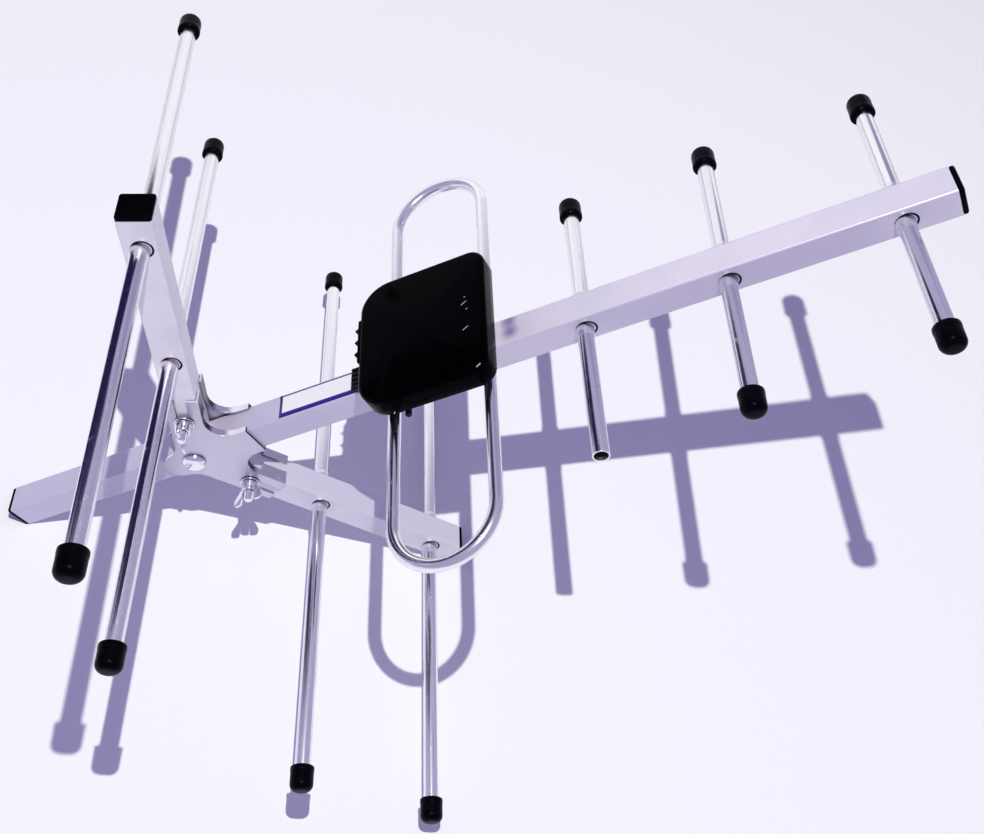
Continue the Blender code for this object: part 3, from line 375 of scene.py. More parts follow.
class Paint:
    """One material with its Principled shader, and shortcuts to feed it."""

    def __init__(self, name: str, effects: Effects) -> None:
        """Make the material.

        Args:
            name: the material's name.
            effects: the shared node groups.
        """
        self.material = bpy.data.materials.new(name)
        self.material.use_nodes = True
        self.effects = effects
        self.sheet = Sheet(self.material.node_tree)
        self.shader = self.material.node_tree.nodes["Principled BSDF"]

    def place(self) -> bpy.types.NodeSocket:
        """The object's own coordinates, in metres."""
        return self.sheet.add("ShaderNodeTexCoord").outputs["Object"]

    def unrolled(self) -> bpy.types.NodeSocket:
        """The map laid on round tubes: turns across, metres along."""
        return self.sheet.add("ShaderNodeUVMap", {"uv_map": "unrolled"}).outputs[0]

    def effect(self, group: bpy.types.NodeTree, **inputs: Feed) -> bpy.types.Node:
        """Place a shared group.

        Args:
            group: which one.
            inputs: its values or sockets, by name.

        Returns:
            The group node.
        """
        return self.sheet.add("ShaderNodeGroup", {"node_tree": group}, **inputs)

    def surface(self, **values: Feed) -> None:
        """Set or join the Principled shader's sockets.

        Args:
            values: by socket name, with underscores for spaces.
        """
        for name, value in values.items():
            self.sheet.feed(self.shader.inputs[name.replace("_", " ")], value)

    def relief(self, height: bpy.types.NodeSocket, distance: float, strength: float = 1.0) -> None:
        """Add a bump to the surface, over any bump that is there.

        Args:
            height: the height socket.
            distance: how deep it is, in metres.
            strength: how much of it shows.
        """
        bump = self.sheet.add("ShaderNodeBump", None, Height=height, Distance=distance, Strength=strength)
        socket = self.shader.inputs["Normal"]
        if socket.is_linked:
            self.sheet.feed(bump.inputs["Normal"], socket.links[0].from_socket)
        self.sheet.feed(socket, bump.outputs[0])


class Finish(Protocol):
    """Anything with a name that can build a material."""

    name: str

    def build(self, effects: Effects) -> bpy.types.Material:
        """Build the material with the shared effects."""


@dataclass(frozen=True)
class BrightTube:
    """Bright drawn aluminium of the round rods and the dipole loop."""

    name: str
    colour: Colour = (0.95, 0.94, 0.97)
    tarnish: Colour = (0.74, 0.72, 0.81)
    pit: Colour = (0.93, 0.93, 0.98)
    roughness: float = 0.11
    seed: float = 0.0

    def build(self, effects: Effects) -> bpy.types.Material:
        """Build the finish.

        Args:
            effects: the shared node groups.

        Returns:
            The material.
        """
        paint = Paint(self.name, effects)
        sheet = paint.sheet
        marks = paint.effect(effects.drawn_tube, Map=paint.unrolled(), Turns=1.6, Seed=self.seed)
        place = paint.place()
        scratches = paint.effect(effects.scratches, Vector=place, Scale=70.0, Width=0.003).outputs[0]
        haze = sheet.maths("MULTIPLY", marks.outputs["Streaks"], 0.55)
        colour = sheet.blend(haze, self.colour, self.tarnish)
        colour = sheet.blend(sheet.maths("MULTIPLY", marks.outputs["Pits"], 0.45), colour, self.pit)
        rough = sheet.ramp(marks.outputs["Streaks"], 0.0, 1.0, self.roughness, self.roughness + 0.10)
        rough = sheet.maths("ADD", rough, sheet.maths("MULTIPLY", marks.outputs["Pits"], 0.22), clamp=True)
        paint.surface(Base_Color=colour, Roughness=rough, Metallic=1.0)
        paint.relief(marks.outputs["Fine"], 0.00004, 0.55)
        paint.relief(sheet.maths("ADD", marks.outputs["Pits"], scratches), 0.00003, 0.5)
        return paint.material


@dataclass(frozen=True)
class SatinTube:
    """Satin extruded aluminium of a square tube, grained along its length."""

    name: str
    lean: float = 0.0
    colour: Colour = (0.83, 0.80, 0.87)
    stain: Colour = (0.68, 0.65, 0.78)
    die_line: Colour = (0.90, 0.89, 0.96)
    scratch: Colour = (0.90, 0.90, 0.96)
    box_reflection_colour: Colour = (0.20, 0.16, 0.42)
    rear_shade: Colour = (0.46, 0.42, 0.64)
    roughness: float = 0.38
    metallic: float = 0.22
    specular: float = 0.30
    box_reflection_spots: tuple[tuple[float, float, float], ...] = ()
    shaded_behind: tuple[float, float] | None = None
    shaded_near_side: Colour | None = None

    def build(self, effects: Effects) -> bpy.types.Material:
        """Build the finish.

        Args:
            effects: the shared node groups.

        Returns:
            The material.
        """
        paint = Paint(self.name, effects)
        sheet = paint.sheet
        place = paint.place()
        grain = sheet.stretched(place, (3.0, 1400.0, 1400.0), self.lean)
        marks = paint.effect(effects.die_lines, Vector=place, Grain=grain, Scale=1.0)
        scratches = paint.effect(effects.scratches, Vector=place, Scale=45.0, Width=0.0025).outputs[0]
        stained = sheet.maths("MULTIPLY", marks.outputs["Stains"], 0.50)
        colour = sheet.blend(stained, self.colour, self.stain)
        lines = sheet.ramp(marks.outputs["Lines"], 0.30, 0.70, 0.0, 0.22)
        colour = sheet.blend(lines, colour, self.die_line)
        colour = sheet.blend(sheet.maths("MULTIPLY", scratches, 0.35), colour, self.scratch)
        # Painted reflection of the dark feed box: soft dark spots on the boom's top, just ahead of the box.
        for x, y, radius in self.box_reflection_spots:
            middle = (x, y, BOOM_TOP)
            away = sheet.add("ShaderNodeVectorMath", {"operation": "DISTANCE"}, in0=place, in1=middle)
            fray = sheet.ramp(marks.outputs["Lines"], 0.3, 0.7, -0.0006, 0.0006)
            ragged = sheet.maths("ADD", away.outputs["Value"], fray)
            colour = sheet.blend(sheet.ramp(ragged, radius * 0.25, radius, 0.80, 0.0), colour, self.box_reflection_colour)
        # Painted shade: the boom's colour darkens towards its rear end.
        if self.shaded_behind:
            along = sheet.add("ShaderNodeSeparateXYZ", None, in0=place).outputs[0]
            behind = sheet.ramp(along, *self.shaded_behind, 0.45, 0.0)
            colour = sheet.blend(behind, colour, self.rear_shade)
        # Painted shade on faces turned towards -Y, strongest from x 0.44 to 0.53 along the boom.
        if self.shaded_near_side:
            facing = sheet.add("ShaderNodeTexCoord").outputs["Normal"]
            across = sheet.add("ShaderNodeSeparateXYZ", None, in0=facing).outputs[1]
            side = sheet.ramp(sheet.maths("MULTIPLY", across, -1.0), 0.3, 0.9)
            along = sheet.add("ShaderNodeSeparateXYZ", None, in0=place).outputs[0]
            reach = sheet.maths("MULTIPLY", side, sheet.ramp(along, 0.53, 0.60, 0.90, 0.35))
            reach = sheet.maths("MULTIPLY", reach, sheet.ramp(along, 0.33, 0.44, 0.55, 1.0))
            colour = sheet.blend(reach, colour, self.shaded_near_side)
        rough = sheet.ramp(marks.outputs["Lines"], 0.25, 0.75, self.roughness - 0.07, self.roughness + 0.10)
        rough = sheet.maths("ADD", rough, sheet.maths("MULTIPLY", marks.outputs["Scuffs"], 0.10), clamp=True)
        paint.surface(Base_Color=colour, Roughness=rough)
        paint.surface(Metallic=self.metallic, Specular_IOR_Level=self.specular)
        paint.relief(marks.outputs["Lines"], 0.00003, 0.5)
        paint.relief(sheet.maths("SUBTRACT", marks.outputs["Scuffs"], scratches), 0.00003, 0.4)
        return paint.material


@dataclass(frozen=True)
class PlatedSteel:
    """Zinc plated steel: the pressed plates and the small fasteners."""

    name: str
    colour: Colour = (0.58, 0.565, 0.67)
    dark: Colour = (0.44, 0.42, 0.55)
    roughness: float = 0.19
    mottle: float = 0.30
    painted_shade: Colour = (0.030, 0.028, 0.045)
    shade_reach: float = 0.0055
    shade_facing: tuple[float, ...] = ()
    scratch_and_highlight: Colour = (0.93, 0.93, 0.98)

    def build(self, effects: Effects) -> bpy.types.Material:
        """Build the finish.

        Args:
            effects: the shared node groups.

        Returns:
            The material.
        """
        paint = Paint(self.name, effects)
        sheet = paint.sheet
        place = paint.place()
        crystals = sheet.add("ShaderNodeTexVoronoi", {"feature": "F1"}, Vector=place, Scale=420.0)
        tint = sheet.add("ShaderNodeSeparateColor", None, in0=crystals.outputs["Color"]).outputs[0]
        grain = sheet.stretched(place, (900.0, 90.0, 900.0), 0.4)
        marks = paint.effect(effects.die_lines, Vector=place, Grain=grain, Scale=2.2)
        scratches = paint.effect(effects.scratches, Vector=place, Scale=110.0, Width=0.003).outputs[0]
        stains = sheet.maths("MULTIPLY", marks.outputs["Stains"], 0.7)
        shade = sheet.maths("ADD", sheet.maths("MULTIPLY", tint, 0.12), stains)
        colour = sheet.blend(sheet.maths("MULTIPLY", shade, self.mottle, clamp=True), self.colour, self.dark)
        colour = sheet.blend(sheet.maths("MULTIPLY", scratches, 0.5), colour, self.scratch_and_highlight)
        # Painted shade: the colour darkens in crevices and gaps between parts, where ambient occlusion finds
        # nearby faces.
        crevice = sheet.add("ShaderNodeAmbientOcclusion", {"samples": 8}, Distance=self.shade_reach)
        colour = sheet.blend(sheet.ramp(crevice.outputs["AO"], 0.15, 0.70, 0.95, 0.0), colour, self.painted_shade)
        rough = sheet.ramp(tint, 0.0, 1.0, self.roughness - 0.02, self.roughness + 0.03)
        rough = sheet.maths("ADD", rough, sheet.maths("MULTIPLY", marks.outputs["Scuffs"], 0.15), clamp=True)
        metallic: float | bpy.types.NodeSocket = 1.0
        # Painted shade on faces turned along the given direction, and a painted highlight on faces looking
        # up, which are also made less metallic.
        if self.shade_facing:
            normal = sheet.add("ShaderNodeNewGeometry").outputs["Normal"]
            dot = {"operation": "DOT_PRODUCT"}
            aside = sheet.add("ShaderNodeVectorMath", dot, in0=normal, in1=self.shade_facing).outputs["Value"]
            colour = sheet.blend(sheet.ramp(aside, 0.84, 0.96), colour, self.painted_shade)
            top = sheet.ramp(sheet.add("ShaderNodeSeparateXYZ", None, in0=normal).outputs[2], 0.80, 0.95)
            colour = sheet.blend(top, colour, self.scratch_and_highlight)
            metallic = sheet.maths("SUBTRACT", 1.0, sheet.maths("MULTIPLY", top, 0.85))
        paint.surface(Base_Color=colour, Roughness=rough, Metallic=metallic)
        paint.relief(marks.outputs["Lines"], 0.00004, 0.3)
        paint.relief(sheet.maths("SUBTRACT", marks.outputs["Scuffs"], scratches), 0.00004, 0.4)
        return paint.material


@dataclass(frozen=True)
class BlackMoulding:
    """Black plastic or rubber, from glossy box to matt cap."""

    name: str
    colour: Colour = (0.0004, 0.0004, 0.0006)
    rubbed: Colour = (0.0022, 0.0022, 0.0030)
    roughness: float = 0.10
    grain_depth: float = 0.000004
    wave_depth: float = 0.00005
    dust: float = 0.002
    specular: float = 0.022
    sheen: Colour = (0.40, 0.36, 0.78)
    dust_colour: Colour = (0.22, 0.22, 0.25)
    glint_colour: Colour = (0.62, 0.62, 0.66)
    glints: tuple[tuple[float, float, float], ...] = ()

    def build(self, effects: Effects) -> bpy.types.Material:
        """Build the finish.

        Args:
            effects: the shared node groups.

        Returns:
            The material.
        """
        paint = Paint(self.name, effects)
        sheet = paint.sheet
        place = paint.place()
        skin = paint.effect(effects.moulding, Vector=place, Scale=1.0)
        dust = paint.effect(effects.dust, Vector=place, Scale=1.0)
        scratches = paint.effect(effects.scratches, Vector=place, Scale=90.0, Width=0.002).outputs[0]
        worn = sheet.maths("MULTIPLY", skin.outputs["Rubs"], 0.5)
        rubs = sheet.maths("MAXIMUM", worn, sheet.maths("MULTIPLY", scratches, 0.6))
        colour = sheet.blend(rubs, self.colour, self.rubbed)
        film = sheet.maths("MULTIPLY", dust.outputs["Film"], self.dust)
        specks = sheet.maths("MULTIPLY", dust.outputs["Specks"], 3.0 * self.dust)
        colour = sheet.blend(sheet.maths("MAXIMUM", film, specks), colour, self.dust_colour)
        # Painted highlights: short bright dashes where the cover glints.
        for x, y, half_length in self.glints:
            moved = sheet.add("ShaderNodeVectorMath", {"operation": "SUBTRACT"}, in0=place, in1=(x, y, 0.0))
            turned = sheet.add("ShaderNodeVectorRotate", {"rotation_type": "Z_AXIS"}, Angle=GLINT_ANGLE)
            sheet.feed(turned.inputs["Vector"], moved.outputs[0])
            parts = sheet.add("ShaderNodeSeparateXYZ", None, in0=turned.outputs[0])
            lengthwise = sheet.maths("ABSOLUTE", parts.outputs[0])
            sideways = sheet.maths("ABSOLUTE", parts.outputs[1])
            along = sheet.ramp(lengthwise, half_length * 0.7, half_length, 1.0, 0.0)
            across = sheet.ramp(sideways, 0.00012, 0.00030, 1.0, 0.0)
            colour = sheet.blend(sheet.maths("MULTIPLY", along, across), colour, self.glint_colour)
        rough = sheet.ramp(rubs, 0.0, 0.5, self.roughness, min(self.roughness + 0.18, 0.9))
        rough = sheet.maths("ADD", rough, sheet.maths("MULTIPLY", film, 0.8), clamp=True)
        paint.surface(Base_Color=colour, Roughness=rough, Metallic=0.0, Specular_IOR_Level=self.specular)
        paint.surface(Specular_Tint=self.sheen)
        paint.relief(skin.outputs["Wave"], self.wave_depth, 0.35)
        paint.relief(skin.outputs["Grain"], self.grain_depth, 0.8)
        return paint.material


@dataclass(frozen=True)
class LabelPaper:
    """A bare white sticker with a printed border, read from its own map."""

    name: str
    paper: Colour = (0.97, 0.96, 0.95)
    ink: Colour = (0.012, 0.004, 0.24)
    worn_paper: Colour = (0.84, 0.82, 0.88)
    worn_ink: Colour = (0.20, 0.16, 0.45)
    near_border: float = 0.20
    far_border: float = 0.06
    end_border: float = 0.028

    def build(self, effects: Effects) -> bpy.types.Material:
        """Build the finish.

        Args:
            effects: the shared node groups.

        Returns:
            The material.
        """
        paint = Paint(self.name, effects)
        sheet = paint.sheet
        parts = sheet.add("ShaderNodeSeparateXYZ", None, in0=paint.unrolled())
        across, along = parts.outputs[1], parts.outputs[0]
        near = sheet.maths("LESS_THAN", across, self.near_border)
        far = sheet.maths("GREATER_THAN", across, 1 - self.far_border)
        rear = sheet.maths("LESS_THAN", along, self.end_border)
        printed = sheet.maths("MAXIMUM", sheet.maths("MAXIMUM", near, far), rear)
        place = paint.place()
        skin = paint.effect(effects.moulding, Vector=place, Scale=1.0)
        wear = sheet.maths("MULTIPLY", skin.outputs["Rubs"], 0.25)
        paper = sheet.blend(wear, self.paper, self.worn_paper)
        ink = sheet.blend(wear, self.ink, self.worn_ink)
        paint.surface(Base_Color=sheet.blend(printed, paper, ink), Metallic=0.0)
        paint.surface(Roughness=sheet.ramp(skin.outputs["Wave"], 0.3, 0.7, 0.28, 0.42))
        paint.relief(skin.outputs["Wave"], 0.0001, 0.4)
        return paint.material


@dataclass(frozen=True)
class CircuitBoard:
    """Green resist over copper tracks."""

    name: str
    resist: Colour = (0.02, 0.12, 0.06)
    track: Colour = (0.05, 0.22, 0.10)
    dust_colour: Colour = (0.35, 0.38, 0.35)

    def build(self, effects: Effects) -> bpy.types.Material:
        """Build the finish.

        Args:
            effects: the shared node groups.

        Returns:
            The material.
        """
        paint = Paint(self.name, effects)
        sheet = paint.sheet
        place = paint.place()
        kind = {"feature": "F1", "distance": "CHEBYCHEV"}
        cells = sheet.add("ShaderNodeTexVoronoi", kind, Vector=place, Scale=170.0)
        tracks = sheet.ramp(cells.outputs["Distance"], 0.30, 0.34)
        skin = paint.effect(effects.moulding, Vector=place, Scale=1.0)
        dust = paint.effect(effects.dust, Vector=place, Scale=1.0)
        colour = sheet.blend(tracks, self.resist, self.track)
        colour = sheet.blend(sheet.maths("MULTIPLY", dust.outputs["Film"], 0.2), colour, self.dust_colour)
        paint.surface(Base_Color=colour, Roughness=sheet.ramp(skin.outputs["Wave"], 0.3, 0.7, 0.22, 0.34))
        paint.relief(tracks, 0.00004, 0.8)
        return paint.material


class Workshop:
    """Holds the shared groups and every finish, each built when first asked for."""

    def __init__(self) -> None:
        """Start with the shared groups and no finishes."""
        self.effects = Effects()
        self.made: dict[str, bpy.types.Material] = {}

    def finish(self, wanted: Finish) -> bpy.types.Material:
        """The material of a finish.

        Args:
            wanted: a finish object with a name and a build method.

        Returns:
            Its material, built once.
        """
        if wanted.name not in self.made:
            self.made[wanted.name] = wanted.build(self.effects)
        return self.made[wanted.name]


# Painted reflection of the feed box on the boom's top: x, y and radius of each spot.
BOOM_BOX_REFLECTIONS = ((0.3265, 0.0065, 0.0064), (0.3270, -0.0015, 0.0066))
# Painted glints on the cover's top: x, y and half length of each dash.
COVER_GLINTS = (
    (0.3106, 0.0043, 0.0024), (0.3112, 0.0090, 0.0006), (0.3123, -0.0010, 0.0006),
    (0.3112, -0.0159, 0.0023), (0.3180, -0.0462, 0.0018), (0.3203, -0.0478, 0.0012))
GLINT_ANGLE = math.radians(-34)
SQUARE_TUBE = {
    "boom": SatinTube(
        "boom_aluminium", box_reflection_spots=BOOM_BOX_REFLECTIONS, shaded_behind=(0.18, 0.42), shaded_near_side=(0.50, 0.46, 0.62)),
    "upper_arm": SatinTube("upper_arm_aluminium", lean=ARM_ANGLE),
    # The lower arm is a darker copy of the arm finish: painted shade.
    "lower_arm": SatinTube("lower_arm_aluminium", lean=-ARM_ANGLE, colour=(0.70, 0.67, 0.77)),
}
# Clamp plates: painted shade on faces turned towards +X, painted highlight on faces looking up.
CLAMP_ZINC = PlatedSteel("clamp_plate_zinc", roughness=0.30, shade_facing=(0.98, 0.0, -0.17))
FASTENER_ZINC = PlatedSteel("fastener_zinc", (0.90, 0.90, 0.94), (0.50, 0.48, 0.60), 0.10, 0.3)
BOX_GLOSS = BlackMoulding("feed_box_gloss", glints=COVER_GLINTS)
BASE_MOULDING = BlackMoulding(
    "feed_box_base_black", (0.003, 0.003, 0.004), (0.03, 0.03, 0.04), 0.26, specular=0.35)
CAP_RUBBER = BlackMoulding(
    "rod_cap_black", (0.0012, 0.0012, 0.0015), (0.006, 0.006, 0.008), 0.30,
    grain_depth=0.00002, wave_depth=0.00012, dust=0.006, specular=0.06)
PLUG_PLASTIC = BlackMoulding(
    "tube_plug_black", (0.0010, 0.0010, 0.0016), (0.005, 0.005, 0.008), 0.42,
    grain_depth=0.00003, wave_depth=0.00006, dust=0.006, specular=0.03)
SWAGED_SHOULDER = PlatedSteel(
    "swaged_shoulder", (0.95, 0.94, 0.97), (0.80, 0.79, 0.86), 0.30, 0.3, shade_reach=0.0015)
HOLE_SHADE = BlackMoulding("punched_hole_shade", (0.012, 0.010, 0.022), (0.03, 0.03, 0.05), 0.7, specular=0.1)
# Painted shade for the inside of the open tube ends.
SHADED_TUBE_BORE = PlatedSteel("tube_bore_aluminium", (0.16, 0.15, 0.18), (0.06, 0.055, 0.08), 0.55, 0.8)
NIPPLE_RUBBER = BlackMoulding(
    "inlet_rubber", (0.010, 0.010, 0.011), (0.05, 0.05, 0.05), 0.6,
    grain_depth=0.00003, wave_depth=0.00004, dust=0.2, specular=0.3)
FERRITE = BlackMoulding(
    "core_ferrite", (0.035, 0.034, 0.036), (0.10, 0.10, 0.10), 0.55,
    grain_depth=0.00004, wave_depth=0.00004, dust=0.2, specular=0.4)
STRAP_BRASS = PlatedSteel("strap_brass", (0.78, 0.60, 0.28), (0.50, 0.36, 0.16), 0.26, 0.5)
BOARD_RESIST = CircuitBoard("matching_board_resist")
LABEL = LabelPaper("label_paper")


def node_points(name: str) -> np.ndarray:
    """The distinct corner points of a frame node.

    Args:
        name: the node's name.

    Returns:
        An array of points, one a row.
    """
    mesh = frame["nodes"][name].data
    points = np.zeros(len(mesh.vertices) * 3, np.float32)
    mesh.vertices.foreach_get("co", points)
    return np.unique(np.round(points.reshape(-1, 3).astype(float), 6), axis=0)


@dataclass(frozen=True)
class CentreLine:
    """A straight piece's centre line, from its low end to its high end."""

    low: Vector
    high: Vector

    @staticmethod
    def of_node(name: str, towards: Vector) -> "CentreLine":
        """Find a long node's centre line.

        Args:
            name: the node's name.
            towards: roughly the way from its low end to its high end.

        Returns:
            The line through the middles of its two end rings.
        """
        points = node_points(name)
        middle = points.mean(axis=0)
        direction = np.linalg.svd(points - middle, full_matrices=False)[2][0]
        direction *= np.sign(direction @ np.array(towards))
        along = (points - middle) @ direction
        end_ring = 0.0003
        low = points[along < along.min() + end_ring].mean(axis=0)
        high = points[along > along.max() - end_ring].mean(axis=0)
        return CentreLine(Vector(low), Vector(high))

    @property
    def length(self) -> float:
        """Distance between the two ends."""
        return (self.high - self.low).length

    @property
    def direction(self) -> Vector:
        """Unit vector from the low end to the high end."""
        return (self.high - self.low).normalized()

    def placement(self, origin: Vector, flip: bool = False) -> Matrix:
        """A placement whose local Z runs along the line.

        Args:
            origin: where it stands.
            flip: point local Z at the low end instead.

        Returns:
            The matrix.
        """
        z = -self.direction if flip else self.direction
        x = (X_AXIS - z * z.dot(X_AXIS)).normalized()
        return placed(x, z.cross(x), z, origin)

    def at_y(self, y: float) -> float:
        """Distance from the low end to where the line has a given Y.

        Args:
            y: the coordinate.

        Returns:
            The distance.
        """
        return (y - self.low.y) / self.direction.y


def placed(x: Vector, y: Vector, z: Vector, origin: Vector) -> Matrix:
    """A placement from three local axes and an origin.

    Args:
        x: local X in the frame.
        y: local Y.
        z: local Z.
        origin: where it stands.

    Returns:
        The matrix.
    """
    matrix = Matrix.Identity(4)
    for column, axis in enumerate((x, y, z)):
        for row in range(3):
            matrix[row][column] = axis[row]
    return Matrix.Translation(origin) @ matrix


def bend(centre: Point, radius: float, start: float, end: float, steps: int) -> list[Point]:
    """Points on an arc.

    Args:
        centre: its centre.
        radius: its radius.
        start: the first angle, in radians.
        end: the last angle.
        steps: how many stretches.

    Returns:
        The points, both ends included.
    """
    angles = [start + (end - start) * k / steps for k in range(steps + 1)]
    return [(centre[0] + radius * math.cos(a), centre[1] + radius * math.sin(a)) for a in angles]


def eased(corners: Sequence[Corner], closed: bool, steps: int = 4) -> list[Point]:
    """A path from corners (x, y, radius), with each radius rounded off.

    Args:
        corners: the corners in order.
        closed: whether the last joins the first.
        steps: stretches in each arc.

    Returns:
        The path's points.
    """
    points = []
    last = len(corners) - 1
    for index, (x, y, radius) in enumerate(corners):
        if radius == 0 or (not closed and index in (0, last)):
            points.append((x, y))
            continue
        corner = Vector((x, y))
        before = (Vector(corners[index - 1][:2]) - corner).normalized()
        after = (Vector(corners[(index + 1) % len(corners)][:2]) - corner).normalized()
        half = before.angle(after) / 2
        centre = corner + (before + after).normalized() * radius / math.sin(half)
        first = corner + before * radius / math.tan(half) - centre
        second = corner + after * radius / math.tan(half) - centre
        start = math.atan2(first.y, first.x)
        sweep = (math.atan2(second.y, second.x) - start + math.pi) % (2 * math.pi) - math.pi
        points += bend(tuple(centre), radius, start, start + sweep, steps)
    return points


def show(name: str, work: bmesh.types.BMesh, placement: Matrix, sharp: float = 40.0) -> bpy.types.Object:
    """Turn a bmesh into a smooth shaded object.

    Args:
        name: the object's name.
        work: the bmesh, which is freed.
        placement: where the object stands.
        sharp: edges steeper than this many degrees stay sharp.

    Returns:
        The object.
    """
    bmesh.ops.recalc_face_normals(work, faces=work.faces)
    mesh = bpy.data.meshes.new(name)
    work.to_mesh(mesh)
    work.free()
    mesh.shade_smooth()
    mesh.set_sharp_from_angle(angle=math.radians(sharp))
    item = bpy.data.objects.new(name, mesh)
    item.matrix_world = placement
    bpy.context.scene.collection.objects.link(item)
    return item


def skin_rings(
    work: bmesh.types.BMesh, rings: Sequence[Sequence[Vector]], lengths: Sequence[float], closed: bool
) -> None:
    """Join rings of points with faces and lay the unrolled map on them.

    Args:
        work: where the faces go.
        rings: rings with the same number of points, or single points at a pole.
        lengths: the map's lengthwise value at each ring.
        closed: whether the last ring joins the first.
    """
    layer = work.loops.layers.uv.get("unrolled") or work.loops.layers.uv.new("unrolled")
    made = [[work.verts.new(point) for point in ring] for ring in rings]
    pairs = list(range(len(made) - 1)) + ([len(made) - 1] if closed else [])
    for index in pairs:
        other = (index + 1) % len(made)
        first, second = made[index], made[other]
        count = max(len(first), len(second))
        for k in range(count):
            m = (k + 1) % count
            corners = [(first[k % len(first)], k, index), (first[m % len(first)], k + 1, index)]
            corners += [(second[m % len(second)], k + 1, other), (second[k % len(second)], k, other)]
            if len(first) == 1:
                corners.pop(1)
            elif len(second) == 1:
                corners.pop(2)
            face = work.faces.new([corner[0] for corner in corners])
            for loop, (_, step, ring) in zip(face.loops, corners):
                loop[layer].uv = (step / count, lengths[ring])


def lathe(
    name: str, profile: Profile, placement: Matrix, segments: int = TUBE_SEGMENTS, closed: bool = False
) -> bpy.types.Object:
    """Turn a profile about local Z.

    Args:
        name: the object's name.
        profile: points (radius, height).
        placement: where it stands.
        segments: facets round it.
        closed: whether the profile is a closed loop, as on a tube.

    Returns:
        The object.
    """
    turns = [2 * math.pi * k / segments for k in range(segments)]
    rings = []
    lengths = [0.0]
    for index, (radius, height) in enumerate(profile):
        if radius < 1e-7:
            rings.append([Vector((0, 0, height))])
        else:
            rings.append([Vector((radius * math.cos(a), radius * math.sin(a), height)) for a in turns])
        if index:
            lengths.append(lengths[-1] + math.dist(profile[index - 1], profile[index]))
    work = bmesh.new()
    skin_rings(work, rings, lengths, closed)
    return show(name, work, placement)


def slab(work: bmesh.types.BMesh, outline: Profile, placement: Matrix, thickness: float, edge: float) -> None:
    """Add a flat shape with rounded edges.

    Args:
        work: where the faces go.
        outline: its outline, in order.
        placement: the outline's plane, with the shape's middle at height zero.
        thickness: how thick it is.
        edge: the radius of its edges.
    """
    part = bmesh.new()
    half = thickness / 2
    bottom = [part.verts.new((x, y, -half)) for x, y in outline]
    face = part.faces.new(bottom)
    grown = bmesh.ops.extrude_face_region(part, geom=[face])
    top = [item for item in grown["geom"] if isinstance(item, bmesh.types.BMVert)]
    bmesh.ops.translate(part, vec=(0, 0, thickness), verts=top)
    rims = [e for e in part.edges if abs(e.verts[0].co.z - e.verts[1].co.z) < thickness / 10]
    bmesh.ops.bevel(part, geom=rims, offset=edge, segments=3, profile=0.5, affect="EDGES", clamp_overlap=True)
    bmesh.ops.recalc_face_normals(part, faces=part.faces)
    part.transform(placement)
    mesh = bpy.data.meshes.new("slab")
    part.to_mesh(mesh)
    part.free()
    work.from_mesh(mesh)
    bpy.data.meshes.remove(mesh)


def dress(
    piece: bpy.types.Object, material: bpy.types.Material, slot: str, body: str, *nodes: str
) -> bpy.types.Object:
    """Give a piece its finish, seat it on its body and report it.

    Args:
        piece: the object.
        material: its material.
        slot: the record's material slot; not used.
        body: the body it moves with.
        nodes: frame nodes that it stands for.

    Returns:
        The same piece.
    """
    piece.data.materials.clear()
    piece.data.materials.append(material)
    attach(piece, body)
    if nodes:
        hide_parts(*nodes)
    LOG.info("%s: %d faces, for %s", piece.name, len(piece.data.polygons), ", ".join(nodes) or "trim")
    return piece


class SoftenedCopies:
    """Copies of frame nodes with their hard edges broken, for what needs no other detail."""

    def __init__(self, shop: Workshop) -> None:
        """Keep the workshop.

        Args:
            shop: where the finishes come from.
        """
        self.shop = shop

    def add(self, node: str, finish: Finish, slot: str, edge: float) -> bpy.types.Object:
        """Show one node through a copy with rounded edges.

        Args:
            node: the frame node.
            finish: its finish.
            slot: the record's material slot.
            edge: the radius of its edges, in metres.

        Returns:
            The copy.
        """
        work = bmesh.new()
        work.from_mesh(frame["nodes"][node].data)
        bmesh.ops.remove_doubles(work, verts=work.verts, dist=0.000005)
        bmesh.ops.dissolve_limit(work, angle_limit=math.radians(1.0), verts=work.verts, edges=work.edges)
        piece = show(f"{node}_finished", work, Matrix.Identity(4), 35.0)
        if edge:
            bevel = piece.modifiers.new("broken_edges", "BEVEL")
            bevel.width = edge
            bevel.segments = EDGE_SEGMENTS
            bevel.limit_method = "ANGLE"
            bevel.angle_limit = math.radians(40)
            bevel.miter_outer = "MITER_ARC"
            bevel.use_clamp_overlap = True
        normals = piece.modifiers.new("flat_faces", "WEIGHTED_NORMAL")
        normals.keep_sharp = True
        bake_modifiers(piece)
        return dress(piece, self.shop.finish(finish), slot, FRAME_BODY, node)


def bake_modifiers(piece: bpy.types.Object) -> None:
    """Replace a piece's mesh with what its modifiers make of it.

    Args:
        piece: the object.
    """
    bpy.context.view_layer.update()
    evaluated = piece.evaluated_get(bpy.context.evaluated_depsgraph_get())
    mesh = bpy.data.meshes.new_from_object(evaluated)
    piece.modifiers.clear()
    piece.data = mesh


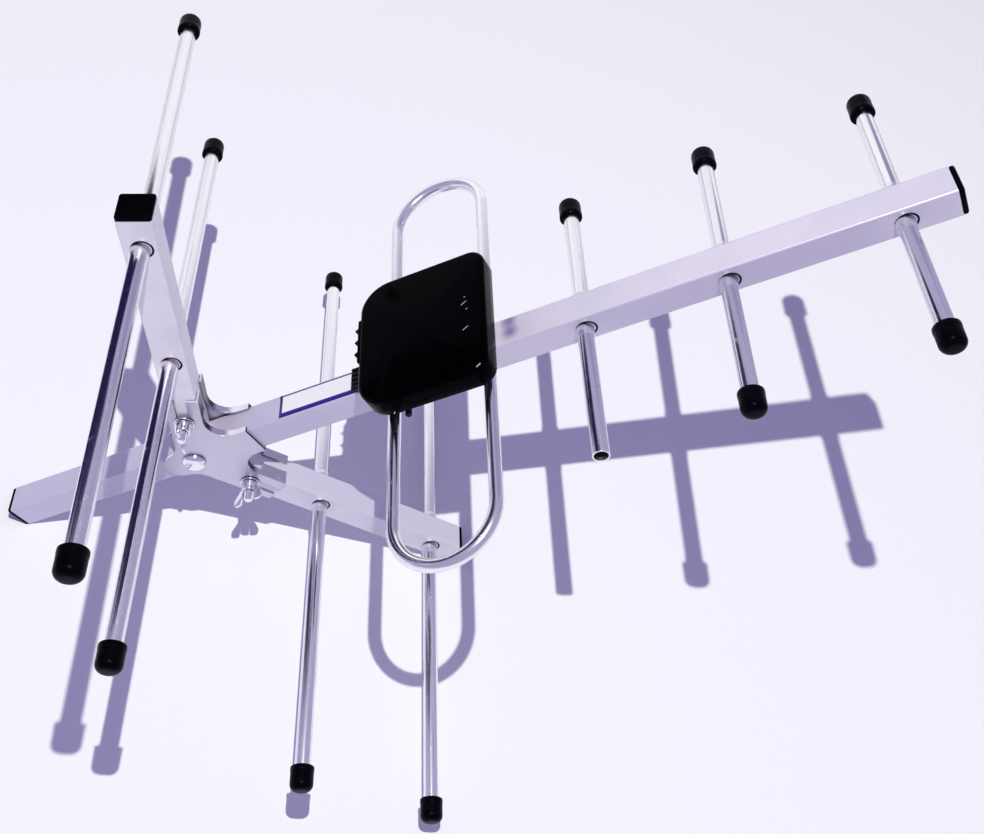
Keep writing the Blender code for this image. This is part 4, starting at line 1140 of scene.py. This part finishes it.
@dataclass
class Rods:
    """The round rods with their swaged beads, and the caps pushed on their ends."""

    shop: Workshop
    radius: float = 0.0050
    wall: float = 0.0010
    carrier_half: float = 0.0103
    bead_radius: float = 0.0054
    bead_length: float = 0.0048
    bead_taper: float = 0.0026
    bead_round: float = 0.0005
    hole_radius: float = 0.0064
    shade_bore: float = 0.0052
    shade_thickness: float = 0.00009
    hole_shift: tuple[float, float] = (0.0013, -0.0001)
    cap_radius: float = 0.0071
    cap_lip_radius: float = 0.0073
    cap_lip_length: float = 0.0018
    cap_length: float = 0.0145
    cap_end: float = 0.0023
    cap_dome: float = 0.0042

    def build(self) -> None:
        """Build every rod and its caps."""
        rods = ["director_1", "director_2", "director_3"]
        rods += [f"{arm.name.lower()}_{place}_reflector" for arm in Arm for place in ("inner", "outer")]
        for number, node in enumerate(rods):
            line = CentreLine.of_node(node, Y_AXIS)
            self.build_rod(node, line, float(number))
            for side in Side:
                cap = f"{node}_{side.name.lower()}_cap"
                if cap in frame["nodes"]:
                    self.build_cap(cap, line, side)

    def build_rod(self, node: str, line: CentreLine, seed: float) -> None:
        """One rod: a tube with a bead each side of what carries it.

        Args:
            node: the frame node.
            line: its centre line.
            seed: makes its streaks its own.
        """
        middle = line.at_y(0.0)
        outer = self.radius
        rim = self.wall * 0.3
        bead = [
            (outer, self.carrier_half, 0.0),
            (self.bead_radius, self.carrier_half, self.bead_round),
            (self.bead_radius, self.carrier_half + self.bead_length, self.bead_round),
            (outer, self.carrier_half + self.bead_length + self.bead_taper, 0.0),
        ]
        corners = [(outer - self.wall, 0.0, rim), (outer, 0.0, rim)]
        corners += [(radius, middle - height, ease) for radius, height, ease in reversed(bead)]
        corners += [(radius, middle + height, ease) for radius, height, ease in bead]
        corners += [(outer, line.length, rim), (outer - self.wall, line.length, rim)]
        profile = eased(corners, closed=True, steps=3)
        piece = lathe(f"{node}_tube", profile, line.placement(line.low), closed=True)
        aluminium = self.shop.finish(BrightTube(f"{node}_aluminium", seed=seed * 3.7))
        dress(piece, aluminium, "rod_tube", FRAME_BODY, node)
        piece.data.materials.append(self.shop.finish(SHADED_TUBE_BORE))
        piece.data.materials.append(self.shop.finish(SWAGED_SHOULDER))
        reach = self.carrier_half + self.bead_length + self.bead_taper * 0.6
        # Faces inside the bore get the painted shade; faces on the shoulders get the shoulder finish.
        for face in piece.data.polygons:
            if face.center.xy.length < outer - self.wall * 0.9:
                face.material_index = 1
            elif abs(face.center.z - middle) < reach:
                face.material_index = 2
        for side in Side:
            self.build_hole_shade(node, line, middle, side)

    def build_hole_shade(self, node: str, line: CentreLine, middle: float, side: Side) -> None:
        """A thin dark ring: painted shade in the clearance of the punched hole round a rod's shoulder.

        Args:
            node: the rod's frame node.
            line: its centre line.
            middle: distance from the line's low end to the boom's middle plane.
            side: which face of the carrier.
        """
        face = middle + side.value * (self.carrier_half - GAP)
        shift = Vector((self.hole_shift[0], 0.0, self.hole_shift[1]))
        front = face + self.shade_thickness * side.value
        bore, rim = self.shade_bore, self.hole_radius
        profile = [(bore, face), (rim, face), (rim, front), (bore, front)]
        name = f"{node}_{side.name.lower()}_hole_shade"
        ring = lathe(name, profile, line.placement(line.low + shift), closed=True)
        dress(ring, self.shop.finish(HOLE_SHADE), "rod_cap", FRAME_BODY)

    def build_cap(self, node: str, line: CentreLine, side: Side) -> None:
        """One push-on cap, with a rolled lip at its mouth and a domed end.

        Args:
            node: the frame node.
            line: the rod's centre line.
            side: which end of the rod.
        """
        end = line.high if side is Side.FAR else line.low
        tip, mouth = self.cap_end, self.cap_end - self.cap_length
        bore = self.radius + GAP
        corners = [
            (0.0, tip, 0.0),
            (self.cap_radius, tip, self.cap_dome),
            (self.cap_radius * 1.005, mouth + self.cap_lip_length * 1.9, 0.0004),
            (self.cap_lip_radius, mouth + self.cap_lip_length * 1.3, 0.0005),
            (self.cap_lip_radius, mouth, 0.0004),
            (bore, mouth, 0.0003),
            (bore, mouth + self.cap_lip_length, 0.0),
        ]
        profile = eased(corners, closed=False, steps=6)
        piece = lathe(f"{node}_moulded", profile, line.placement(end, side is Side.NEAR))
        dress(piece, self.shop.finish(CAP_RUBBER), "rod_cap", FRAME_BODY, node)


@dataclass
class Dipole:
    """The folded dipole loop, bent from one tube whose ends meet inside the box."""

    shop: Workshop
    radius: float = 0.0040
    solid_radius: float = 0.0050
    wall: float = 0.0010
    feed_gap: float = 0.018
    sideways: float = -0.0038
    bend_steps: int = 40
    node: str = "folded_dipole"

    def path(self) -> list[Vector]:
        """The tube's centre line, from one end inside the box round to the other.

        Returns:
            Points along it.
        """
        low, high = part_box(self.node)
        middle = (low + high) / 2
        bend_radius = (high.x - low.x) / 2 - self.solid_radius
        rear = low.x + self.solid_radius
        far_centre = (middle.x, high.y - self.solid_radius - bend_radius)
        near_centre = (middle.x, low.y + self.solid_radius + bend_radius)
        far = bend(far_centre, bend_radius, math.pi, 0, self.bend_steps)
        near = bend(near_centre, bend_radius, 0, -math.pi, self.bend_steps)
        start = (rear, self.sideways + self.feed_gap / 2)
        end = (rear, self.sideways - self.feed_gap / 2)
        flat = [start, *far, *near, end]
        return [Vector((x, y, middle.z)) for x, y in flat]

    def build(self) -> None:
        """Sweep the tube along its path and dress it."""
        points = self.path()
        origin = points[0].lerp(points[-1], 0.5)
        rings, inner, lengths = [], [], []
        travelled = 0.0
        for index, point in enumerate(points):
            before = points[max(index - 1, 0)]
            after = points[min(index + 1, len(points) - 1)]
            across = (after - before).normalized().cross(Z_AXIS)
            travelled += (point - before).length
            lengths.append(travelled)
            rings.append(self.ring(point - origin, across, self.radius))
            inner.append(self.ring(point - origin, across, self.radius - self.wall))
        work = bmesh.new()
        skin_rings(work, rings + inner[::-1], lengths + lengths[::-1], closed=True)
        piece = show(f"{self.node}_tube", work, Matrix.Translation(origin))
        finish = BrightTube("dipole_aluminium", seed=41.0)
        dress(piece, self.shop.finish(finish), "rod_tube", FRAME_BODY, self.node)

    @staticmethod
    def ring(point: Vector, across: Vector, radius: float) -> list[Vector]:
        """One ring of the tube.

        Args:
            point: its centre.
            across: the level direction across the tube.
            radius: its radius.

        Returns:
            The ring's points.
        """
        turns = [2 * math.pi * k / TUBE_SEGMENTS for k in range(TUBE_SEGMENTS)]
        return [point + across * radius * math.cos(a) + Z_AXIS * radius * math.sin(a) for a in turns]


@dataclass
class FeedBoxCover:
    """The glossy cover: rounded outline, soft top edge, slight crown and a toothed grip."""

    shop: Workshop
    wall: float = 0.0020
    rear_corner: float = 0.0205
    front_corner: float = 0.0100
    edge_round: float = 0.0035
    crown: float = 0.0012
    rim_ease: float = 0.0004
    outer_step: float = 0.0020
    inner_step: float = 0.0030
    weld_distance: float = 0.000001
    grip_reach: float = 0.0022
    grip_tooth: float = 0.0016
    grip_half_width: float = 0.0170
    grip_sideways: float = 0.0060
    grip_height: float = 0.0050
    grip_pitch: float = 0.0096
    pad_corner: float = 0.0010
    pad_edge: float = 0.0006
    tooth_edge: float = 0.0003
    corner_steps: int = 14
    node: str = "feed_box_lid"

    def outline(self, inset: float) -> list[Point]:
        """The cover's outline from above.

        Args:
            inset: how far inside the outer face.

        Returns:
            Its points.
        """
        low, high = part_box(self.node)
        rear = low.x + self.grip_reach + self.grip_tooth + inset
        front = high.x - inset
        near, far = low.y + inset, high.y - inset
        big, small = self.rear_corner - inset, self.front_corner - inset
        corners = [(front, near, small), (front, far, small), (rear, far, big), (rear, near, big)]
        return eased(corners, closed=True, steps=self.corner_steps)

    def level(self, inset: float, height: float, shrink: float = 1.0) -> list[Vector]:
        """One ring of the cover.

        Args:
            inset: how far inside the outer face.
            height: its Z.
            shrink: scale about the cover's middle.

        Returns:
            The ring's points.
        """
        low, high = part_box(self.node)
        middle = (low + high) / 2
        spread = [((x - middle.x) * shrink, (y - middle.y) * shrink) for x, y in self.outline(inset)]
        return [Vector((middle.x + x, middle.y + y, height)) for x, y in spread]

    def build(self) -> None:
        """Build the cover with its grip and dress it."""
        low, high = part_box(self.node)
        bottom = low.z
        rim_top = high.z - self.crown - self.edge_round * math.sin(math.radians(85))
        lip = self.rim_ease
        rings = [self.level(self.wall - lip, bottom), self.level(lip, bottom)]
        rings.append(self.level(lip * 0.3, bottom + lip * 0.3))
        rings.append(self.level(0.0, bottom + lip))
        rings.append(self.level(0.0, bottom + (rim_top - bottom) * 0.5))
        for degrees in range(0, 91, 9):
            angle = math.radians(degrees)
            inset = self.edge_round * (1 - math.cos(angle))
            rings.append(self.level(inset, rim_top + self.edge_round * math.sin(angle)))
        top = rim_top + self.edge_round
        for shrink in (0.96, 0.90, 0.80, 0.65, 0.50, 0.35, 0.18):
            rings.append(self.level(self.edge_round, top + self.crown * (1 - shrink ** 2), shrink))
        rings.append([Vector((*((low + high) / 2).xy, top + self.crown))])
        work = bmesh.new()
        skin_rings(work, rings, [self.outer_step * k for k in range(len(rings))], closed=False)
        inside = [self.level(self.wall - lip, bottom), self.level(self.wall, bottom + lip)]
        inside.append(self.level(self.wall, rim_top))
        inside.append(self.level(self.wall + self.edge_round * 0.7, top - self.wall * 0.8))
        inside.append([Vector((*((low + high) / 2).xy, top - self.wall * 0.6))])
        skin_rings(work, inside, [self.inner_step * k for k in range(len(inside))], closed=False)
        bmesh.ops.remove_doubles(work, verts=work.verts, dist=self.weld_distance)
        self.add_grip(work, rim_top)
        piece = show(self.node + "_cover", work, Matrix.Identity(4), 50.0)
        dress(piece, self.shop.finish(BOX_GLOSS), "feed_box", FRAME_BODY, self.node)

    def add_grip(self, work: bmesh.types.BMesh, rim_top: float) -> None:
        """The raised pad on the rear face, with three pointed teeth.

        Args:
            work: where the faces go.
            rim_top: Z of the cover's straight side's end.
        """
        low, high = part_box(self.node)
        rear = low.x + self.grip_reach + self.grip_tooth
        middle = (low.y + high.y) / 2 + self.grip_sideways
        half = self.grip_half_width
        pad_face = rear - self.grip_reach * 0.5
        root = rear + self.wall * 0.8
        pad = eased([
            (pad_face, middle - half, self.pad_corner), (pad_face, middle + half, self.pad_corner),
            (root, middle + half, 0.0), (root, middle - half, 0.0)], closed=True)
        slab(work, pad, Matrix.Translation((0, 0, rim_top)), self.grip_height, self.pad_edge)
        for number in (-1, 0, 1):
            y = middle + number * self.grip_pitch
            tooth = eased([
                (rear - self.grip_reach - self.grip_tooth, y + self.grip_tooth * 0.2, self.tooth_edge),
                (rear, y + self.grip_tooth * 1.9, 0.0),
                (rear, y - self.grip_tooth * 1.5, 0.0)], closed=True)
            place = Matrix.Translation((0, 0, rim_top))
            slab(work, tooth, place, self.grip_height * 0.7, self.tooth_edge)


@dataclass
class Label:
    """A bare sticker on the boom's top face, running in under the box's tongue."""

    shop: Workshop
    rear: float = 0.1637
    front: float = 0.2360
    half_width: float = 0.0089
    thickness: float = 0.00016
    corner_lift: float = 0.0006

    def build(self) -> None:
        """Build the sticker as a thin sheet with a slightly lifted corner."""
        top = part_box("boom")[1].z
        columns, rows = 40, 10
        work = bmesh.new()
        layer = work.loops.layers.uv.new("unrolled")
        grid = []
        for i in range(columns + 1):
            u = i / columns
            grid.append([self.corner(work, u, j / rows, top) for j in range(rows + 1)])
        for i in range(columns):
            for j in range(rows):
                square = [grid[i][j], grid[i + 1][j], grid[i + 1][j + 1], grid[i][j + 1]]
                places = [(i, j), (i + 1, j), (i + 1, j + 1), (i, j + 1)]
                face = work.faces.new(square)
                for loop, (a, b) in zip(face.loops, places):
                    loop[layer].uv = (a / columns, b / rows)
        piece = show("blank_label", work, Matrix.Identity(4))
        body = piece.modifiers.new("paper", "SOLIDIFY")
        body.thickness = self.thickness * 0.8
        body.offset = -1
        bake_modifiers(piece)
        dress(piece, self.shop.finish(LABEL), "tube_plug", FRAME_BODY)

    def corner(self, work: bmesh.types.BMesh, u: float, v: float, top: float) -> bmesh.types.BMVert:
        """One point of the sheet.

        Args:
            work: where it goes.
            u: share of the way along.
            v: share of the way across.
            top: Z of the boom's top face.

        Returns:
            The vertex.
        """
        x = self.rear + (self.front - self.rear) * u
        y = -self.half_width + 2 * self.half_width * v
        lift = self.corner_lift * max(0.0, 1 - u / 0.06) ** 2 * max(0.0, 1 - (1 - v) / 0.25)
        return work.verts.new((x, y, top + self.thickness + lift))


@dataclass
class Fasteners:
    """Bolts, washers, nuts and wing nuts of the bracket."""

    shop: Workshop
    bolt_radius: float = 0.0030
    thread_pitch: float = 0.0010
    thread_depth: float = 0.00035
    washer_radius: float = 0.0065
    washer_thickness: float = 0.0012
    hex_across: float = 0.0100
    hex_edge: float = 0.0005
    head_height: float = 0.0040
    tip_height: float = 0.0004
    boom_thread_length: float = 0.0120
    arm_thread_start: float = 0.0040
    hub_radius: float = 0.0058
    hub_height: float = 0.0065
    wing_height: float = 0.0150
    wing_reach: float = 0.0125
    wing_tip: float = 0.0070
    wing_thickness: float = 0.0020
    wing_edge: float = 0.0006
    upper_turn: float = math.radians(65)
    lower_turn: float = math.radians(9)

    def build(self) -> None:
        """Build every fastener of the bracket."""
        self.build_boom_bolt()
        for arm, turn in ((Arm.UPPER, self.upper_turn), (Arm.LOWER, self.lower_turn)):
            label = arm.name.lower()
            joint = next(j for j in frame["joints"] if j["child"] == f"{label}_wing_nut")
            seat = Vector(joint["pos_m"])
            self.build_arm_bolt(label, seat)
            self.build_wing_nut(f"{label}_wing_nut", seat, turn)
            for side in Side:
                self.build_washer(f"{label}_arm_{side.name.lower()}_washer", side)
        self.build_washer("boom_washer", Side.FAR)
        self.build_nut()

    @staticmethod
    def along_y(origin: Vector, side: Side) -> Matrix:
        """A placement with local Z towards one side.

        Args:
            origin: where it stands.
            side: which way local Z points.

        Returns:
            The matrix.
        """
        return placed(X_AXIS, -Z_AXIS * side.value, Y_AXIS * side.value, origin)

    def thread(self, start: float, end: float) -> list[Point]:
        """The profile of a threaded stretch.

        Args:
            start: where it starts.
            end: where it ends.

        Returns:
            Points (radius, height).
        """
        turns = max(1, round(abs(end - start) / self.thread_pitch))
        step = (end - start) / turns
        root = self.bolt_radius - self.thread_depth
        points = []
        for k in range(turns):
            points += [(root, start + step * k), (self.bolt_radius, start + step * (k + 0.5))]
        return points + [(root, end)]

    def build_washer(self, node: str, side: Side) -> None:
        """One flat washer with rounded edges.

        Args:
            node: the frame node.
            side: which plate it lies on.
        """
        low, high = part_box(node)
        centre = (low + high) / 2
        half = self.washer_thickness / 2
        bore = self.bolt_radius + GAP
        corners = [(bore, half, 0.0002), (self.washer_radius, half, 0.0003)]
        corners += [(self.washer_radius, -half, 0.0003), (bore, -half, 0.0002)]
        piece = lathe(f"{node}_turned", eased(corners, closed=True), self.along_y(centre, side), closed=True)
        dress(piece, self.shop.finish(FASTENER_ZINC), "plated_steel", FRAME_BODY, node)

    def hexagon(self, work: bmesh.types.BMesh, placement: Matrix, low: float, high: float) -> None:
        """A hexagon head with broken edges.

        Args:
            work: where the faces go.
            placement: the bolt's placement.
            low: its underside.
            high: its top.
        """
        radius = self.hex_across / math.sqrt(3)
        turns = [math.radians(60 * k) for k in range(6)]
        outline = [(radius * math.cos(turn), radius * math.sin(turn)) for turn in turns]
        middle = placement @ Matrix.Translation((0, 0, (low + high) / 2))
        slab(work, outline, middle, high - low, self.hex_edge)

    def build_boom_bolt(self) -> None:
        """The domed bolt through the boom."""
        low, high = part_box("boom_bolt")
        centre = (low + high) / 2
        dome_radius = (high.x - low.x) / 2
        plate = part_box("near_clamp_plate")[0].y
        under_head = -plate + GAP
        crest = -low.y
        tail = high.y
        start = tail - self.boom_thread_length
        dome = [(dome_radius * math.sin(a), under_head + (crest - under_head) * (0.2 + 0.8 * math.cos(a)))
                for a in (math.radians(d) for d in range(0, 91, 9))]
        profile = dome + [(dome_radius, under_head), (self.bolt_radius, under_head)]
        profile += [(self.bolt_radius, -start)] + self.thread(-start, -tail) + [(0.0, -tail)]
        piece = lathe("boom_bolt_turned", profile, self.along_y(Vector((centre.x, 0, centre.z)), Side.NEAR))
        dress(piece, self.shop.finish(FASTENER_ZINC), "plated_steel", FRAME_BODY, "boom_bolt")

    def build_nut(self) -> None:
        """The hexagon nut on the far side of the boom."""
        low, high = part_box("boom_nut")
        centre = (low + high) / 2
        work = bmesh.new()
        placement = self.along_y(Vector((centre.x, 0, centre.z)), Side.FAR)
        self.hexagon(work, placement, low.y, high.y)
        piece = show("boom_nut_hexagon", work, Matrix.Identity(4), 30.0)
        dress(piece, self.shop.finish(FASTENER_ZINC), "plated_steel", FRAME_BODY, "boom_nut")

    def build_arm_bolt(self, label: str, seat: Vector) -> None:
        """One bolt through an arm, headed on the far side, threaded on the near side.

        Args:
            label: "upper" or "lower".
            seat: where its wing nut sits.
        """
        node = f"{label}_arm_bolt"
        low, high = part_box(node)
        placement = self.along_y(Vector((seat.x, 0, seat.z)), Side.FAR)
        under_head = high.y - self.head_height
        start = -seat.y - self.arm_thread_start
        profile = [(0.0, low.y), (self.bolt_radius * 0.7, low.y)]
        profile += self.thread(low.y + self.tip_height, -start)
        profile += [(self.bolt_radius, -start), (self.bolt_radius, under_head), (0.0, under_head)]
        shank = lathe(f"{node}_turned", profile, Matrix.Identity(4), SMALL_SEGMENTS)
        work = bmesh.new()
        work.from_mesh(shank.data)
        self.hexagon(work, Matrix.Identity(4), under_head, high.y)
        bpy.data.objects.remove(shank)
        piece = show(f"{node}_threaded", work, placement, 30.0)
        dress(piece, self.shop.finish(FASTENER_ZINC), "plated_steel", FRAME_BODY, node)

    def build_wing_nut(self, node: str, seat: Vector, turn: float) -> None:
        """One wing nut: a turned hub with two upswept wings.

        Args:
            node: the frame node, which is also its body.
            seat: where it sits on its bolt.
            turn: how far its wings are turned about the bolt.
        """
        bore = self.bolt_radius + GAP
        corners = [
            (bore, self.hub_height, 0.0002), (self.hub_radius * 0.84, self.hub_height, 0.0008),
            (self.hub_radius, self.hub_height * 0.3, 0.0010), (self.hub_radius, 0.0, 0.0004),
            (bore, 0.0, 0.0002)]
        profile = eased(corners, closed=True)
        hub = lathe(f"{node}_hub", profile, Matrix.Identity(4), SMALL_SEGMENTS, closed=True)
        work = bmesh.new()
        work.from_mesh(hub.data)
        bpy.data.objects.remove(hub)
        for flip in (0.0, math.pi):
            out = Vector((math.cos(turn + flip), math.sin(turn + flip), 0))
            upright = placed(out, Z_AXIS, out.cross(Z_AXIS), Vector())
            slab(work, self.wing(), upright, self.wing_thickness, self.wing_edge)
        placement = placed(X_AXIS, Z_AXIS, -Y_AXIS, seat)
        piece = show(f"{node}_cast", work, placement, 45.0)
        dress(piece, self.shop.finish(FASTENER_ZINC), "plated_steel", node, node)

    def wing(self) -> list[Point]:
        """One wing's outline: distance from the bolt, height over the seat.

        Returns:
            The outline's points.
        """
        root = self.bolt_radius + GAP * 2
        return eased([
            (root, self.wing_height * 0.06, 0.0),
            (self.hub_radius * 0.94, self.wing_height * 0.06, 0.0),
            (self.wing_reach, self.wing_height * 0.68, 0.0040),
            (self.wing_reach - 0.0005, self.wing_height, 0.0025),
            (self.wing_reach - self.wing_tip, self.wing_height, 0.0016),
            (self.hub_radius * 0.80, self.hub_height * 0.85, 0.0),
            (root, self.hub_height * 0.7, 0.0)], closed=True, steps=6)


@dataclass
class Hardware:
    """Everything that is shown through a copy of its frame node."""

    shop: Workshop

    def build(self) -> None:
        """Dress the tubes, plates, plugs, box base and what the box holds."""
        copies = SoftenedCopies(self.shop)
        for node, finish in SQUARE_TUBE.items():
            copies.add(node, finish, "square_tube", 0.0)
        for node in ("near_clamp_plate", "far_clamp_plate"):
            copies.add(node, CLAMP_ZINC, "clamp_plate", 0.00035)
        for node in ("boom_front_plug", "boom_rear_plug", "upper_arm_plug", "lower_arm_plug"):
            copies.add(node, PLUG_PLASTIC, "tube_plug", 0.0003)
        copies.add("feed_box_base", BASE_MOULDING, "feed_box", 0.00015)
        copies.add("matching_board", BOARD_RESIST, "circuit_board", 0.0002)
        copies.add("balun_core", FERRITE, "ferrite", 0.0003)
        copies.add("cable_terminal", PLUG_PLASTIC, "tube_plug", 0.0)
        copies.add("cable_inlet", NIPPLE_RUBBER, "soft_rubber", 0.0002)
        for node in ("near_feed_strap", "far_feed_strap"):
            copies.add(node, STRAP_BRASS, "brass", 0.0001)
        for node in ("near_strap_screw", "far_strap_screw", "box_front_screw", "box_rear_screw"):
            copies.add(node, FASTENER_ZINC, "plated_steel", 0.0002)


@dataclass(frozen=True)
class StudioCard:
    """A standing card with soft edges that only shows in the glossy metal."""

    name: str
    centre: tuple[float, float, float]
    facing: tuple[float, float, float]
    half_width: float
    half_height: float
    colour: Colour
    soft_edge: float = 0.15

    def build(self) -> None:
        """Build the card and keep it out of every other kind of light."""
        normal = Vector(self.facing).normalized()
        across = Z_AXIS.cross(normal).normalized()
        work = bmesh.new()
        bmesh.ops.create_grid(work, x_segments=1, y_segments=1, size=1.0)
        bmesh.ops.scale(work, vec=(self.half_width, self.half_height, 1.0), verts=work.verts)
        card = show(self.name, work, placed(across, normal.cross(across), normal, Vector(self.centre)))
        material = bpy.data.materials.new(self.name)
        material.use_nodes = True
        sheet = Sheet(material.node_tree)
        material.node_tree.nodes.remove(material.node_tree.nodes["Principled BSDF"])
        place = sheet.add("ShaderNodeTexCoord").outputs["Object"]
        parts = sheet.add("ShaderNodeSeparateXYZ", None, in0=place)
        wide = sheet.maths("DIVIDE", sheet.maths("ABSOLUTE", parts.outputs[0]), self.half_width)
        high = sheet.maths("DIVIDE", sheet.maths("ABSOLUTE", parts.outputs[1]), self.half_height)
        edge = sheet.ramp(sheet.maths("MAXIMUM", wide, high), 1.0 - self.soft_edge, 1.0)
        clear = sheet.add("ShaderNodeBsdfTransparent")
        tone = sheet.add("ShaderNodeEmission", None, Color=self.colour)
        mixed = sheet.add("ShaderNodeMixShader", None, in0=edge, in1=tone.outputs[0], in2=clear.outputs[0])
        sheet.feed(material.node_tree.nodes["Material Output"].inputs["Surface"], mixed.outputs[0])
        card.data.materials.append(material)
        for ray in ("camera", "diffuse", "shadow", "transmission", "volume_scatter"):
            setattr(card, f"visible_{ray}", False)


STUDIO_CARDS = (
    StudioCard("dark_card", (-0.13, 0.16, 0.59), (0.0, -1.0, 0.0), 0.49, 0.35, (0.014, 0.011, 0.055), 0.08),
    StudioCard("high_card", (0.15, 0.16, 1.06), (0.0, -1.0, 0.0), 0.45, 0.42, (0.014, 0.011, 0.055), 0.08),
    StudioCard("grey_card", (0.955, 0.42, 0.335), (0.0, -1.0, 0.0), 0.295, 0.315, (0.30, 0.28, 0.44)),
)


@dataclass
class Stage:
    """The pale floor, the soft light and the camera."""

    floor_size: float = 8.0
    floor_normal: tuple[float, float, float] = (0.606, -0.036, 0.795)
    floor_touch: tuple[float, float, float] = (-0.0600, 0.0, 0.0)
    floor_colour: Colour = (0.91, 0.915, 0.935)
    lamp_place: tuple[float, float, float] = (0.733, -0.325, 0.787)
    lamp_radius: float = 0.005
    lamp_strength: float = 29.3
    lamp_colour: Colour = (1.0, 0.985, 0.86)
    fill_colour: Colour = (0.270, 0.245, 0.47)
    backdrop: Colour = (0.90, 0.88, 0.98)
    wall: Colour = (0.98, 0.96, 1.0)
    room: Colour = (0.40, 0.38, 0.56)
    camera_place: tuple[float, float, float] = (0.5163, -0.4655, 0.4995)
    camera_right: tuple[float, float, float] = (0.895, -0.018, -0.445)
    camera_down: tuple[float, float, float] = (-0.302, -0.758, -0.577)
    focal_pixels: float = 1152.57
    middle_pixel: tuple[float, float] = (450.5, 361.0)
    image_size: tuple[int, int] = (984, 834)

    def build(self) -> None:
        """Set the floor, lamp, world and camera."""
        self.add_floor()
        for card in STUDIO_CARDS:
            card.build()
        self.add_lamp()
        self.add_world()
        self.add_camera()
        bpy.context.scene.view_settings.view_transform = "Standard"

    def add_floor(self) -> None:
        """The sheet that the antenna leans on, clear when seen from behind."""
        normal = Vector(self.floor_normal).normalized()
        across = Y_AXIS.cross(normal).normalized()
        work = bmesh.new()
        bmesh.ops.create_grid(work, x_segments=1, y_segments=1, size=self.floor_size / 2)
        place = placed(across, normal.cross(across), normal, Vector(self.floor_touch) - normal * 0.0006)
        floor = show("floor_sheet", work, place)
        material = bpy.data.materials.new("pale_floor")
        material.use_nodes = True
        sheet = Sheet(material.node_tree)
        shader = material.node_tree.nodes["Principled BSDF"]
        shader.inputs["Base Color"].default_value = (*self.floor_colour, 1)
        shader.inputs["Roughness"].default_value = 0.95
        shader.inputs["Specular IOR Level"].default_value = 0.0
        here = sheet.add("ShaderNodeNewGeometry").outputs["Position"]
        to_lamp = sheet.add("ShaderNodeVectorMath", {"operation": "SUBTRACT"}, in0=self.lamp_place, in1=here)
        level = sheet.add("ShaderNodeVectorMath", {"operation": "NORMALIZE"}, in0=to_lamp.outputs[0])
        sheet.feed(shader.inputs["Normal"], level.outputs[0])
        clear = sheet.add("ShaderNodeBsdfTransparent")
        behind = sheet.add("ShaderNodeNewGeometry").outputs["Backfacing"]
        lit, unseen = shader.outputs[0], clear.outputs[0]
        mixed = sheet.add("ShaderNodeMixShader", None, in0=behind, in1=lit, in2=unseen)
        sheet.feed(material.node_tree.nodes["Material Output"].inputs["Surface"], mixed.outputs[0])
        floor.data.materials.append(material)

    def add_lamp(self) -> None:
        """A small close lamp of even reach, which throws the photograph's shadows."""
        lamp = bpy.data.lights.new("key_lamp", "POINT")
        lamp.shadow_soft_size = self.lamp_radius
        lamp.energy = 1.0
        lamp.use_nodes = True
        sheet = Sheet(lamp.node_tree)
        even = sheet.add("ShaderNodeLightFalloff", None, Strength=self.lamp_strength)
        glow = lamp.node_tree.nodes["Emission"]
        glow.inputs["Color"].default_value = (*self.lamp_colour, 1)
        sheet.feed(glow.inputs["Strength"], even.outputs["Constant"])
        item = bpy.data.objects.new("key_lamp", lamp)
        item.location = self.lamp_place
        bpy.context.scene.collection.objects.link(item)

    def add_world(self) -> None:
        """A dim lilac fill, a pale backdrop to the camera, and a graded room to gloss."""
        world = bpy.data.worlds.new("soft_studio")
        bpy.context.scene.world = world
        world.use_nodes = True
        sheet = Sheet(world.node_tree)
        fill = world.node_tree.nodes["Background"]
        fill.inputs["Color"].default_value = (*self.fill_colour, 1)
        fill.inputs["Strength"].default_value = 1.0
        towards = sheet.add("ShaderNodeTexCoord").outputs["Generated"]
        parts = sheet.add("ShaderNodeSeparateXYZ", None, in0=towards)
        depth = sheet.maths("SUBTRACT", parts.outputs[1], sheet.maths("MULTIPLY", parts.outputs[0], 0.08))
        room = sheet.blend(sheet.ramp(depth, 0.63, 0.75), self.room, self.wall)
        path = sheet.add("ShaderNodeLightPath")
        shown = sheet.blend(path.outputs["Is Glossy Ray"], self.backdrop, room)
        pale = sheet.add("ShaderNodeBackground", None, Color=shown, Strength=1.0)
        seen = sheet.maths("MAXIMUM", path.outputs["Is Camera Ray"], path.outputs["Is Glossy Ray"])
        seen = sheet.maths("MAXIMUM", seen, path.outputs["Is Transmission Ray"])
        mixed = sheet.add("ShaderNodeMixShader", None, in0=seen, in1=fill.outputs[0], in2=pale.outputs[0])
        sheet.feed(world.node_tree.nodes["World Output"].inputs["Surface"], mixed.outputs[0])

    def add_camera(self) -> None:
        """The camera that took the photograph."""
        data = bpy.data.cameras.new("camera")
        camera = bpy.data.objects.new("camera", data)
        right = Vector(self.camera_right).normalized()
        down = Vector(self.camera_down)
        down = (down - right * down.dot(right)).normalized()
        camera.matrix_world = placed(right, -down, -right.cross(down), Vector(self.camera_place))
        width, height = self.image_size
        data.sensor_fit = "HORIZONTAL"
        data.lens = data.sensor_width * self.focal_pixels / width
        data.shift_x = (width / 2 - self.middle_pixel[0]) / width
        data.shift_y = (self.middle_pixel[1] - height / 2) / width
        data.clip_start = 0.01
        bpy.context.scene.collection.objects.link(camera)
        bpy.context.scene.camera = camera


def main() -> None:
    """Build and dress the whole antenna, then set the stage."""
    logging.basicConfig(level=logging.INFO, format="%(name)s: %(message)s")
    shop = Workshop()
    parts = [Hardware(shop), Rods(shop), Dipole(shop), FeedBoxCover(shop), Label(shop), Fasteners(shop)]
    for part in (*parts, Stage()):
        LOG.info("building %s", type(part).__name__)
        part.build()


if __name__ == "__main__":
    main()
